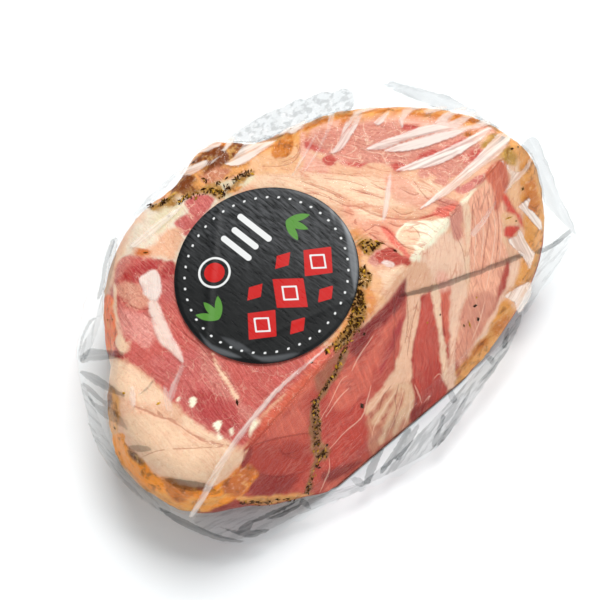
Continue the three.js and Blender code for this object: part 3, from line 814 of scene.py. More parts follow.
def meat_material():
    """Ham, fat and baked crust: tones painted on the mesh, with fibres, marbling, creases and pits from
    nodes."""
    m = Paint("meat")
    place, lie = m.place(), m.colour("lie")
    lean, crust = m.number("lean"), m.number("crust")
    fat = m.math("SUBTRACT", m.math("SUBTRACT", 1.0, crust), lean, clamp=True)
    fine = m.noise(place, FINE, 4, 0.6)
    fibre = m.noise(m.colour("grain"), FIBRE, 4, 0.6, 0.3)
    scorch = m.noise(place, SCORCH, 5, 0.65, 0.4)
    wobble = m.noise(place, WOBBLE)
    strands = m.noise(lie, 1, 3, 0.55, 0.3)
    strand_lines = contour(m, strands, 0.5, 0.05, 0.012)
    lock_lines = contour(m, m.noise(lie, 0.42, 2, 0.5, 0.4), 0.48, 0.028, 0.006)
    patchy = m.step(m.noise(place, PATCHES), 0.4, 0.6, 0.3, 1.0)
    sparse = m.product(patchy, m.number("fibrous"))

    shade = m.step(m.noise(place, BROAD, 3, 0.55), 0.3, 0.7, 0.93, 1.06)
    shade = m.node("ShaderNodeCombineColor", {0: shade, 1: shade, 2: shade}).outputs[0]
    colour = m.blend(1.0, m.colour("tone"), shade, "MULTIPLY")
    colour = m.blend(m.product(m.step(fibre, 0.5, 0.72), lean), colour, PALE_STREAK, "MULTIPLY")
    shares = {
        # Painted shade, with the lean's own darker tone, where the fibres' relief dips.
        "hollow_shade": (m.step(fibre, 0.5, 0.3), lean, 0.32),
        "marbling": (marbling(m, place), m.number("web"), 0.6),
        "fat_strand": (strand_lines, fat, sparse, 0.3),
        "fat_lock": (lock_lines, fat, sparse, 0.5),
        "lean_strand": (strand_lines, lean, patchy, 0.14),
        "lean_lock": (lock_lines, lean, patchy, 0.34),
        # Pale flecks on the fat, partly painted highlights of its wet shine.
        "mottle": (m.step(fine, 0.52, 0.7), m.math("SUBTRACT", 0.24, m.product(lean, 0.2))),
        # Painted shade in small pits where the fine relief dips.
        "pit_shade": (m.step(fine, 0.42, 0.3), m.math("SUBTRACT", 1.0, crust), 0.28),
        "thread": (line_share(m, "thread", wobble), 0.42),
        # Painted shade along the drawn creases, which are also pressed into the surface.
        "crease": (line_share(m, "crease", wobble), 0.42),
        "scorch": (m.step(scorch, 0.5, 0.68), crust, 0.62),
        "glaze": (m.step(scorch, 0.46, 0.3), crust, 0.55),
    }
    for name, tone in MEAT_LAYERS.items():
        kind = "MULTIPLY" if name == "crease" else "MIX"
        colour = m.blend(m.product(*shares[name]), colour, rgba(tone), kind)
    m.feed(m.shader.inputs["Base Color"], colour)

    m.feed(m.shader.inputs["Roughness"], m.step(fine, 0.3, 0.7, MEAT_SHEEN_ROUGHNESS, MEAT_DULL_ROUGHNESS))
    m.shader.inputs["Specular IOR Level"].default_value = MEAT_SPECULAR
    m.shader.inputs["Subsurface Weight"].default_value = SUBSURFACE
    m.shader.inputs["Subsurface Radius"].default_value = SUBSURFACE_RADIUS
    m.shader.inputs["Subsurface Scale"].default_value = SUBSURFACE_SCALE
    relief = m.bump(fine, 0.0005, 0.5)
    relief = m.bump(fibre, 0.0004, 0.5, relief)
    relief = m.bump(strands, 0.0008, m.product(m.math("ADD", lean, 0.4), 0.5), relief)
    relief = m.bump(scorch, 0.0012, m.product(crust, 0.8), relief)
    m.feed(m.shader.inputs["Normal"], relief)
    return m.material


def line_share(m, name, wobble):
    """How much of a drawn line covers a place: the mesh holds the signed and the plain distance to it."""
    shaken = m.math("ADD", m.number(name + "_side"), m.product(m.math("SUBTRACT", wobble, 0.5), 1.6))
    across = m.step(m.math("ABSOLUTE", shaken), 1.15, 0.55)
    return m.product(across, m.step(m.number(name + "_near"), 3.2, 2.4))


# Tones of the herbs from dark to pale, and where they stand on the ramp.
HERB_RAMP = ((0.5, (54, 26, 3)), (0.72, (110, 72, 10)), (0.95, (214, 160, 52)))
HERB_ROUGHNESS, HERB_SPECULAR = 0.8, 0.1


def herb_material():
    """Crushed pepper and dried leaf: each fleck has a tint of its own, with mottling in it."""
    m = Paint("herbs")
    place = m.place()
    mottle = m.product(m.math("SUBTRACT", m.noise(place, 900), 0.5), 0.4)
    ramp = m.node("ShaderNodeValToRGB", {"Fac": m.math("ADD", m.number("tint"), mottle)})
    stops = ramp.color_ramp.elements
    stops.new(HERB_RAMP[1][0])
    for stop, (position, tone) in zip(stops, HERB_RAMP):
        stop.position, stop.color = position, rgba(tone)
    m.feed(m.shader.inputs["Base Color"], ramp.outputs["Color"])
    m.shader.inputs["Roughness"].default_value = HERB_ROUGHNESS
    m.shader.inputs["Specular IOR Level"].default_value = HERB_SPECULAR
    m.feed(m.shader.inputs["Normal"], m.bump(m.noise(place, 2600, 3), 0.0003, 0.6))
    return m.material


FILM_IOR = 1.12
FILM_ROUGHNESS = 0.09
MOST_MIRRORED = 0.1
CLEAR_TINT, MIRROR_TINT = (0.985, 0.997, 1.0, 1.0), (1.0, 1.0, 1.0, 1.0)
# The white of the painted highlights where the film glints.
PAINTED_GLINT_COLOUR = (252, 240, 230)
SHADE_COLOUR = (112, 116, 118)


def film_material():
    """Clear film: it lets light through and mirrors by its angle. Its glints are painted highlights that
    whiten it, and the greys of its folds and crumples are painted shade."""
    m = Paint("film")
    m.tree.nodes.remove(m.shader)
    place = m.place()
    ripple = m.bump(m.noise(place, 150, 4, 0.55, 0.8), 0.0012, 0.35)
    ragged = m.product(m.math("SUBTRACT", m.noise(place, 700), 0.5), 1.8)
    strands = m.noise(m.colour("weave"), 0.5, 3, 0.6)

    def patch(name, soft, streaks):
        """The share of a kind of patch: ragged at its edge and streaked along its creases."""
        inside = m.step(m.math("ADD", m.number(name + "_gap"), ragged), soft, -soft)
        return m.product(inside, m.number(name + "_strength"), m.step(strands, *streaks))

    # Painted highlights: white patches where the film glints, along with the whitening of its folded layers.
    painted_glint = patch("glint", 1.1, (0.36, 0.6, 0.42, 1.05))
    # Painted shade: the folds and crumples grey what shows through the film, and the shadow by the pack's
    # foot.
    shade = patch("shade", 0.6, (0.3, 0.6, 0.7, 1.0))
    crumple_shade = patch("crumple_shade", 0.6, (0.47, 0.6, 0.45, 1.0))
    through = m.blend(m.math("ADD", shade, crumple_shade, clamp=True), CLEAR_TINT, rgba(SHADE_COLOUR))
    clear = m.node("ShaderNodeBsdfTransparent", {"Color": through})
    gloss = {"Color": MIRROR_TINT, "Roughness": FILM_ROUGHNESS, "Normal": ripple}
    gloss = m.node("ShaderNodeBsdfGlossy", gloss)
    mirror = m.node("ShaderNodeFresnel", {"IOR": FILM_IOR, "Normal": ripple})
    mirrored = m.math("MINIMUM", mirror.outputs[0], MOST_MIRRORED)
    glassy = m.node("ShaderNodeMixShader", {0: mirrored, 1: clear.outputs[0], 2: gloss.outputs[0]})
    white = m.node("ShaderNodeBsdfDiffuse", {"Color": rgba(PAINTED_GLINT_COLOUR)})
    surface = m.node("ShaderNodeMixShader", {0: painted_glint, 1: glassy.outputs[0], 2: white.outputs[0]})
    m.feed(m.output.inputs["Surface"], surface.outputs[0])
    return m.material


# The label's inks: the layer that holds each one's distance, its tone, and half the width of its edge in mm.
INKS = (("red", (196, 20, 16), 0.12), ("green", (84, 140, 52), 0.12), ("white", (226, 224, 222), 0.1))
INK_SHADE = 0.8
# SLATE_LIT is a painted sheen: the slate's lighter tone toward the label's top.
SLATE_DARK, SLATE_LIT, LABEL_SHEEN_TONE = (9, 9, 9), (74, 74, 76), (176, 178, 182)
LABEL_ROUGHNESS, LABEL_SPECULAR = (0.26, 0.4), 0.3


def label_material():
    """Coated paper: a slate-grained black ground under plain fields of red, white and green. The slate shows
    lighter toward the top, a painted sheen, and the film's folds over it carry painted highlights.
    """
    m = Paint("label_print")
    slate = m.noise(m.colour("grain"), 1000, 4, 0.65, 0.3)
    # Painted sheen: the slate grain shows lighter toward the label's top.
    lit = m.product(m.step(slate, 0.35, 0.7), m.number("slate"))
    colour = m.blend(lit, rgba(SLATE_DARK), rgba(SLATE_LIT))
    speckle = m.step(m.noise(m.place(), 1500), 0.2, 0.8, 0.94, 1.0)
    for name, tone, edge in INKS:
        ink = m.blend(speckle, rgba([c * INK_SHADE for c in tone]), rgba(tone))
        colour = m.blend(m.step(m.number(name), edge, -edge), colour, ink)
    sheen = m.product(m.step(m.number("sheen_gap"), 1.0, -2.5), m.number("sheen_strength"))
    m.feed(m.shader.inputs["Base Color"], m.blend(sheen, colour, rgba(LABEL_SHEEN_TONE)))
    m.feed(m.shader.inputs["Roughness"], m.step(slate, 0.3, 0.7, *LABEL_ROUGHNESS))
    m.shader.inputs["Specular IOR Level"].default_value = LABEL_SPECULAR
    m.feed(m.shader.inputs["Normal"], m.bump(slate, 0.00015, 0.4))
    return m.material


FLOOR_TONES = (242, 243, 244), (246, 247, 248)
FLOOR_ROUGHNESS, FLOOR_SPECULAR = 0.9, 0.1


def floor_material():
    """A pale matt floor, a little uneven in tone."""
    m = Paint("pale_floor")
    tone = m.step(m.noise(m.place(), 3), 0.3, 0.7, 0.97, 1.0)
    m.feed(m.shader.inputs["Base Color"], m.blend(tone, *map(rgba, FLOOR_TONES)))
    m.shader.inputs["Roughness"].default_value = FLOOR_ROUGHNESS
    m.shader.inputs["Specular IOR Level"].default_value = FLOOR_SPECULAR
    return m.material


# ---------------------------------------------------------------- the meat

# Millimetres: how far the meat lies under the film, and how high its relief stands.
CUT_INSET, CRUST_INSET = 0.45, 0.8
CRUST_RELIEF, GRAIN_RELIEF, FAT_RELIEF = 0.55, 0.10, 0.12
CREASE_DEPTH, THREAD_HEIGHT = 0.35, 0.12
FLAT_FOOT = 3
MEAT_COLUMNS = 640
MEAT_SIDE_RINGS, MEAT_EDGE_RINGS = 74, 5
MEAT_TOP_SHARES = np.concatenate([np.linspace(0, 0.62, 56)[1:], np.linspace(0.62, 0.97, 9)[1:]])
BELOW_SHARES = np.array([0.96, 0.8, 0.6, 0.4, 0.2])
ARC_SAMPLES, ARC_SHARE = 2400, 0.7
FRONT_GRAIN = 0.09  # how much the way down counts on the front cut, where the grain is drawn out
# Pixels: how far an area's edge wanders, and what is read round it.
RAGGED, AREA_MARGIN = 1.1, 4
FAR_LINE = 9.0  # half widths; no line shows from there
# How the fibres run, in degrees clockwise from the photograph's right: on the front cut to the right of
# FRONT_SPLIT_X and to the left, at the top cut's lower end, and on the rest of it.
FRONT_TURNS, TOP_END_TURN, TOP_TURN = (97, -45), 48, 12
FRONT_SPLIT_X, TOP_END_X, TOP_END_Y = 395, 262, 300
FIBRE_LENGTH, FIBRE_WIDTH, FIBRE_BEND = 24, 3.6, 5
PART_GAP = 7  # keeps the noise of one part away from the next part's
# Fewer marbling lines below this height of the photograph, and fewer fibres in the fat left of TOP_END_X.
WEB_LOW_Y, WEB_LOW_SHARE, FIBROUS_LEFT_SHARE = 250, 0.4, 0.45
LEAN_FRONT = 0.6

relief_noise, grain_noise, crust_noise = Noise(3), Noise(5), Noise(8)


def even_angles(count):
    """Plan angles that divide the belly's outline into even lengths."""
    turn = np.linspace(0, TAU, ARC_SAMPLES + 1)
    belly = side_point(turn, ARC_SHARE)
    length = np.concatenate([[0], np.cumsum(np.linalg.norm(np.diff(belly, axis=0), axis=1))])
    return np.interp(np.arange(count) / count * length[-1], length, turn)


def meat_paths():
    """Where the rings lie, from under the middle, up the side, over the edge and in to the top's middle."""
    side = np.linspace(0, 1 - EDGE_SHARE, MEAT_SIDE_RINGS)
    edge = 1 - EDGE_SHARE * (1 - np.linspace(0, 1, MEAT_EDGE_RINGS + 1)[1:])
    return np.concatenate([-BELOW_SHARES, side, edge, 1 + MEAT_TOP_SHARES])


def cut_shares(points, normals):
    """How far each place belongs to the top cut, to the front cut and to the crust."""
    top = smooth(0.93, 0.985, normals @ TOP_NORMAL)
    front_gap = FRONT_OFFSET - points @ FRONT_NORMAL
    front = smooth(0.90, 0.97, normals @ FRONT_NORMAL) * smooth(7, 3, front_gap)
    return top, front * (1 - top), np.clip(1 - top - front, 0, 1)


def closed_rings(rings):
    """Points and faces of rings that close under the pack's middle and over it."""
    count, columns = rings.shape[:2]
    points = np.vstack([rings.reshape(-1, 3), FOOT_MIDDLE, TOP_MIDDLE])
    return points, ring_faces(count, columns, count * columns, count * columns + 1)


def toward_tone(tone, name, share):
    """Tones brought toward a named one, by a share for each place."""
    return tone + (linear(TONES[name]) - tone) * share[:, None]


def base_tones(points, normals, side):
    """Tones where no area is drawn, and the share of crust: golden crust with fat showing through, darker
    underneath with painted shade; dark flesh at the front's foot, partly painted shade, which counts as no
    crust; and plain fat on the cuts."""
    patch = crust_noise.layers(points, 26, 3)
    baked = crust_noise.layers(points + 90, 11, 3)
    toward_front = -normals[:, 1] / np.maximum(np.hypot(normals[:, 0], normals[:, 1]), 1e-6)
    foot = smooth(0.5, 0.75, toward_front)
    tone = np.tile(linear(TONES["gold"]), (len(points), 1))
    for name, share in (
        ("toffee", smooth(-0.5, 0.5, patch)),
        ("brown", 0.7 * smooth(0.25, 0.8, baked)),
        ("strip", 0.7 * smooth(0.25, 0.7, patch)),
        ("coral", 0.5 * smooth(-0.35, -0.8, baked)),
        ("dark_flesh_and_shade", foot),
    ):
        tone = toward_tone(tone, name, share)
    # Painted shade: darker where the surface faces down, which also throws less red light on the floor.
    tone *= (1 - 0.5 * smooth(-0.1, -0.6, normals[:, 2]))[:, None]
    return toward_tone(tone, "cream", 1 - side), side * (1 - foot)


def flat_noise(px, cell, count):
    """Noise over the photograph's plane."""
    return grain_noise.layers(np.c_[px, np.zeros(len(px))], cell, count)


def paint_areas(px, shown, tone, lean, crust):
    """Paints the areas one over another, each with a soft and ragged edge."""
    wobble = RAGGED * flat_noise(px, 9, 3)
    for name, edge, corners in AREAS:
        outline = curve(corners, closed=True)
        some = near_to(px, outline, edge + AREA_MARGIN)
        some = some[shown[some] > 0]
        if not len(some):
            continue
        gap = area_distance(px[some], outline) + wobble[some] * min(2.0, 0.4 + edge * 0.3)
        share = smooth(edge / 2, -edge / 2, gap) * shown[some]
        tone[some] = toward_tone(tone[some], name, share)
        lean[some] += ((name in LEAN_TONES) - lean[some]) * share
        crust[some] += ((name in CRUST_TONES) - crust[some]) * share


def lie_of_meat(px, front):
    """Places along and across the fibres, which run differently on each cut and at either end."""
    right, low = px.T
    parts = [(front > 0.5) & (right > FRONT_SPLIT_X), front > 0.5, (right < TOP_END_X) | (low > TOP_END_Y)]
    turn = np.radians(np.select(parts, [*FRONT_TURNS, TOP_END_TURN], TOP_TURN))
    along = right * np.cos(turn) + low * np.sin(turn)
    across = low * np.cos(turn) - right * np.sin(turn) + FIBRE_BEND * flat_noise(px, 42, 2)
    part = PART_GAP * np.select(parts, [1, 2, 3], 0)
    return np.stack([along / FIBRE_LENGTH, across / FIBRE_WIDTH, part], -1)


def paint_lines(px, shown, lines):
    """Distances to the nearest of some lines, in half widths: plain and signed by side. A line thins out
    to its ends."""
    near, side = np.full(len(px), FAR_LINE), np.full(len(px), FAR_LINE)
    for half_width, points in lines:
        line = curve(points, closed=False)
        some = near_to(px, line, FAR_LINE * half_width)
        some = some[shown[some] > 0.5]
        plain, signed, along = line_distance(px[some], line)
        width = half_width * (0.3 + 0.7 * np.sin(math.pi * along) ** 0.7)
        closer = plain / width < near[some]
        near[some] = np.where(closer, plain / width, near[some])
        side[some] = np.where(closer, signed / width, side[some])
    return near, side


def make_meat():
    """The meat under the film. Returns what the herbs need: its surface, its normals, where it shows in the
    photograph and how much of it does."""
    rings = pack_point(even_angles(MEAT_COLUMNS)[None, :], meat_paths()[:, None])
    points, faces = closed_rings(rings)
    normals = normals_of(points, faces)
    px, shown = project(points), facing(points, normals)
    _, front, side = cut_shares(points, normals)
    tone, crust = base_tones(points, normals, side)
    lean = front * LEAN_FRONT
    paint_areas(px, shown, tone, lean, crust)
    thread_near, thread_side = paint_lines(px, shown, THREADS)
    crease_near, crease_side = paint_lines(px, shown, CREASES)

    rough = crust_noise.layers(points, 5, 4) * (0.25 + 0.75 * crust)
    height = CRUST_RELIEF * rough * crust + GRAIN_RELIEF * relief_noise.layers(points, 3.2, 3)
    height += FAT_RELIEF * (1 - lean) * (1 - crust)
    height += THREAD_HEIGHT * smooth(2, 0.2, thread_near) - CREASE_DEPTH * smooth(2.2, 0.2, crease_near)
    height *= smooth(0, FLAT_FOOT, points[:, 2])
    inset = CUT_INSET + (CRUST_INSET - CUT_INSET) * smooth(0, 0.5, side)
    surface = points + normals * (height - inset)[:, None]
    piece = make_piece("meat", surface, faces, meat_material())
    down = 1 - (1 - FRONT_GRAIN) * front
    low = px[:, 1] > WEB_LOW_Y
    store(
        piece, tone=np.clip(tone, 0, 1), lean=lean, crust=crust, lie=lie_of_meat(px, front),
        grain=points * np.stack([np.ones(len(down)), down, down], -1) * MM,
        web=lean * (1 - front) * np.where(low, WEB_LOW_SHARE, 1),
        fibrous=np.where(px[:, 0] < TOP_END_X, FIBROUS_LEFT_SHARE, 1),
        thread_near=thread_near, thread_side=thread_side, crease_near=crease_near, crease_side=crease_side,
    )
    return surface, normals, px, shown


# ---------------------------------------------------------------- herbs

# Where dried herbs lie: flecks per 100 square pixels, half width in pixels, and the line they follow.
HERB_LINES = (
    (64, 1.3, ((348, 348), (342, 355), (337, 370), (330, 382), (322, 393), (316, 402))),
    (38, 3.4, ((315, 404), (317, 420), (318, 430), (317, 440), (316, 450), (321, 457), (326, 453))),
    (26, 1.6, ((319, 462), (314, 474), (310, 486), (308, 496))),
    (26, 2.2, ((184, 198), (196, 195), (208, 190), (216, 188), (222, 194))),
    (30, 2.0, ((222, 192), (230, 184), (238, 178), (250, 172))),
    (36, 4.2, ((164, 204), (172, 199), (180, 198))), (40, 3.4, ((212, 191), (221, 194))),
    (36, 2.6, ((236, 177), (242, 173))), (22, 2.6, ((150, 205), (164, 207))),
    (30, 2.2, ((198, 178), (206, 180))), (20, 1.4, ((218, 182), (228, 179))),
    (24, 2.0, ((240, 503), (262, 506), (280, 502), (296, 499))),
)
# Patches of them: flecks per 100 square pixels, outline.
HERB_PATCHES = (
    (30, ((352, 290), (362, 292), (366, 310), (363, 326), (354, 340), (346, 350), (330, 353), (326, 350),
     (336, 340), (350, 320))),
    (26, ((356, 270), (366, 267), (372, 273), (370, 282), (360, 286))),
    (20, ((360, 240), (380, 240), (374, 251), (365, 251))),
)
# Single flecks: place, length and width in pixels, turn in degrees.
HERB_BITS = (
    ((361, 241), 12, 2.2, -32), ((372, 248), 10, 2.4, 60), ((382, 243), 8, 1.6, 20), ((395, 250), 5, 2, 30),
    ((364, 334), 5, 4, 70), ((361, 317), 11, 2.2, 2), ((363, 406), 10, 5, 65), ((477, 298), 3, 3, 0),
    ((471, 325), 13, 2.2, 72), ((465, 326), 6, 2.4, 60), ((478, 320), 7, 4, 70), ((475, 307), 7, 4, 10),
    ((441, 315), 3.5, 2.4, 90), ((158, 404), 6, 2.6, -30), ((124, 392), 4, 3, 20), ((107, 408), 3.5, 2.6, 40),
    ((113, 429), 3.5, 3, 60), ((237, 402), 8, 3, 80), ((193, 161), 4, 2.4, 10), ((504, 136), 6, 3, 30),
    ((513, 148), 7, 2.4, -6), ((518, 147), 3, 2, 30), ((523, 189), 5, 4, 40), ((510, 218), 12, 2, 6),
    ((516, 222), 4, 2, 20), ((311, 362), 4, 2, 10), ((329, 352), 9, 3, 55), ((145, 253), 6, 1.6, 0),
    ((258, 504), 6, 3.4, -10), ((270, 502), 3, 4, 0), ((278, 500), 4, 2.6, 0), ((427, 323), 4, 2, 45),
    ((327, 445), 4, 4, 60), ((106, 320), 2, 2, 0), ((112, 320), 2.6, 2, 0), ((168, 216), 4, 3, 30),
    ((290, 126), 4, 5, 0), ((226, 178), 5, 2, -40),
)
# Millimetres, and a width as a share of the length.
FLECK_LENGTHS, FLECK_SLIMNESS = (0.7, 2.7), (0.22, 0.55)
FLECK_SPREAD, FLECK_TILT = 0.3, 0.3
FLECK_LIFT, FLECK_THICKNESS, FLECK_SWELL = 0.15, 0.22, 0.12
FLECK_CORNERS = 6
HERB_SEED = 21


def fleck(centre, normal, along, length, width, thick):
    """A small chip, pointed at both ends and domed: six corners and eight faces."""
    across = np.cross(normal, along)
    corners = [
        centre + along * length / 2, centre + across * width / 2, centre - along * length / 2,
        centre - across * width / 2, centre + normal * thick, centre - normal * thick * 0.6,
    ]
    return corners, [(0, 1, 4), (1, 2, 4), (2, 3, 4), (3, 0, 4), (1, 0, 5), (2, 1, 5), (3, 2, 5), (0, 3, 5)]


def herb_places(px, shown):
    """The places where flecks may lie on each line and patch, and how many there are."""
    places = []
    for density, half_width, points in HERB_LINES:
        line = curve(points, closed=False)
        some = near_to(px, line, half_width + 1)
        near = line_distance(px[some], line)[0]
        length = np.linalg.norm(np.diff(line, axis=0), axis=1).sum()
        inside = some[(near < half_width) & (shown[some] > 0.5)]
        places.append((inside, int(density * length * 2 * half_width / 100)))
    for density, corners in HERB_PATCHES:
        outline = curve(corners, closed=True)
        some = near_to(px, outline, 1)
        inside = some[(area_distance(px[some], outline) < 0) & (shown[some] > 0.5)]
        area = 0.5 * abs(np.cross(outline, np.roll(outline, -1, 0)).sum())
        places.append((inside, int(density * area / 100)))
    return places


def make_herbs(surface, normals, px, shown):
    """Flecks scattered along the lines and over the patches, and single ones where they stand out."""
    draw = np.random.default_rng(HERB_SEED)
    corners, faces = [], []

    def add(at, normal, turn, length, width):
        first = np.cross(normal, RIGHT)
        first /= np.linalg.norm(first)
        along = first * math.sin(turn) + np.cross(first, normal) * math.cos(turn)
        thick = FLECK_THICKNESS + FLECK_SWELL * width
        points, sides = fleck(at + normal * FLECK_LIFT, normal, along, length, width, thick)
        faces.extend(tuple(len(corners) + k for k in side) for side in sides)
        corners.extend(points)

    for inside, count in herb_places(px, shown):
        for index in draw.choice(inside, count):
            at = surface[index] + draw.normal(0, FLECK_SPREAD, 3)
            tilt = normals[index] + draw.normal(0, FLECK_TILT, 3)
            length = draw.uniform(*FLECK_LENGTHS)
            turn = draw.uniform(0, TAU)
            add(at, tilt / np.linalg.norm(tilt), turn, length, length * draw.uniform(*FLECK_SLIMNESS))
    for centre, length, width, turn in HERB_BITS:
        index = np.argmin(np.hypot(*(px - centre).T) + 50 * (shown < 0.3))
        add(surface[index], normals[index], -math.radians(turn), length * MM_PER_PX, width * MM_PER_PX)
    piece = make_piece("herbs", np.array(corners), faces, herb_material())
    piece.data.shade_flat()
    store(piece, tint=np.repeat(draw.uniform(0, 1, len(corners) // FLECK_CORNERS), FLECK_CORNERS))


# ---------------------------------------------------------------- the film

FILM_COLUMNS = 560
FILM_TOP_SHARES = np.concatenate([np.linspace(0, 0.62, 66)[1:], np.linspace(0.62, 0.96, 7)[1:]])
FILM_SIDE_RINGS, FILM_FLARE_RINGS, FILM_SKIRT_RINGS, FILM_LOW_RINGS = 32, 7, 16, 7
# Where the film leaves the side, as shares of its height above and below the skirt, and where on the skirt
# the curve from there ends, as a share of its reach.
FLARE_ABOVE, FLARE_BELOW, FLARE_OUT = 0.16, 0.10, 0.35
# Millimetres: between the skirt's layers, past them at its edge, and over the pack.
SKIRT_GAP, RIM_OUT, FILM_LIFT = 0.5, 0.3, 0.05
SKIRT_SLACK = 0.5
SKIRT_FOLDS = ((23, 1.1, 0.4), (41, 0.7, 1.9), (74, 0.4, 3.1))  # around, height, turn
ROOT_PASSES = 8
GLINT_RELIEF, CREASE_RELIEF, CREASE_CELL = 0.12, 0.5, 14
FILM_FLAT_FOOT = 4

# Painted highlights: bright glints of the film over the meat, drawn as white patches, in the photograph's
# pixels: strength, outline.
GLINTS = (
    (0.7, ((366, 149), (380, 142), (396, 136), (412, 130), (428, 125), (446, 124), (484, 125), (456, 130),
     (436, 133), (418, 137), (402, 142), (384, 149))),
    (0.72, ((384, 151), (398, 145), (420, 138), (442, 132), (470, 128), (458, 135), (442, 141),
     (424, 147), (404, 151))),
    (0.84, ((396, 171), (414, 162), (432, 155), (450, 147), (468, 138), (490, 127), (488, 136),
     (474, 144), (456, 156), (436, 165), (416, 169))),
    (0.76, ((420, 209), (434, 196), (450, 183), (466, 168), (482, 152), (500, 133), (510, 140),
     (498, 156), (484, 166), (466, 180), (448, 194))),
    (0.6, ((329, 153), (335, 147), (341, 136), (345, 122), (351, 120), (349, 129), (357, 119), (360, 120),
     (354, 132), (347, 143), (340, 151))),
    (0.4, ((319, 147), (324, 136), (328, 126), (329, 114), (334, 114), (333, 122), (328, 134),
     (323, 143))),
    (0.4, ((328, 124), (340, 119), (352, 117), (342, 123), (332, 129))),
    (0.45, ((292, 176), (300, 160), (310, 143), (319, 131), (312, 144), (303, 160))),
    (0.35, ((304, 172), (312, 158), (322, 145), (315, 158))),
    (0.5, ((382, 222), (385, 196), (388, 180), (391, 172), (391, 190), (387, 214))),
    (0.6, ((374, 123), (380, 117), (390, 110), (388, 116), (380, 125))),
    (0.6, ((398, 119), (403, 119), (402, 129))),
    (0.6, ((444, 113), (449, 113), (447, 120), (442, 119))),
    (0.66, ((176, 175), (182, 170), (196, 164), (207, 160), (208, 164), (200, 170), (190, 175))),
    (0.6, ((193, 154), (200, 147), (208, 142), (219, 139), (221, 145), (212, 150), (203, 152))),
    (0.6, ((229, 138), (235, 139), (228, 148), (221, 155), (211, 164), (208, 165), (216, 156),
     (224, 148))),
    (0.72, ((225, 164), (232, 159), (240, 150), (247, 143), (260, 144), (277, 141), (268, 148),
     (257, 155), (246, 163), (234, 166))),
    (0.66, ((279, 135), (286, 129), (296, 125), (306, 121), (301, 129), (294, 134), (286, 133))),
    (0.42, ((139, 279), (148, 273), (156, 270), (160, 278), (161, 290), (156, 300), (147, 296),
     (142, 288))),
    (0.36, ((149, 304), (157, 302), (166, 322), (174, 338), (182, 352), (183, 363), (172, 353),
     (157, 338), (152, 320))),
    (0.34, ((182, 364), (184, 368), (178, 384), (173, 400), (167, 400), (171, 386), (178, 372))),
    (0.35, ((164, 386), (168, 392), (173, 408), (169, 412), (164, 404))),
    (0.45, ((131, 386), (136, 394), (135, 412), (130, 412), (130, 398))),
    (0.5, ((130, 246), (146, 232), (166, 216), (182, 206), (172, 218), (154, 234), (140, 246))),
    (0.55, ((189, 516), (200, 496), (212, 473), (226, 451), (240, 431), (255, 412), (274, 391),
     (300, 368), (332, 343), (302, 371), (277, 394), (259, 416), (245, 434), (231, 454), (217, 477),
     (205, 499), (194, 516))),
    (0.7, ((499, 155), (508, 166), (513, 171), (520, 171), (528, 161), (532, 153), (529, 166), (521, 177),
     (513, 184), (503, 194), (509, 182), (510, 174), (503, 163))),
    (0.85, ((518, 206), (524, 201), (530, 198), (527, 207), (533, 212), (541, 222), (540, 230),
     (530, 219), (522, 210))),
    (0.85, ((508, 240), (516, 236), (520, 229), (524, 238), (528, 246), (534, 253), (531, 262),
     (528, 270), (524, 258), (516, 250))),
    (0.75, ((504, 296), (512, 290), (520, 286), (531, 282), (530, 296), (525, 306), (518, 313),
     (514, 302))),
    (0.34, ((470, 232), (482, 218), (496, 200), (486, 220), (474, 236))),
    (0.6, ((436, 119), (448, 112), (464, 107), (466, 110), (452, 116), (440, 122))),
    (0.55, ((452, 122), (466, 115), (480, 111), (481, 115), (468, 120), (456, 126))),
    (0.5, ((402, 110), (412, 106), (426, 103), (427, 106), (414, 110), (405, 114))),
    (0.55, ((468, 128), (482, 121), (494, 119), (494, 123), (482, 127), (472, 132))),
    (0.5, ((418, 114), (430, 109), (446, 106), (444, 109), (432, 113), (421, 117))),
    (0.5, ((352, 113), (364, 108), (378, 106), (376, 109), (364, 112), (355, 116))),
)
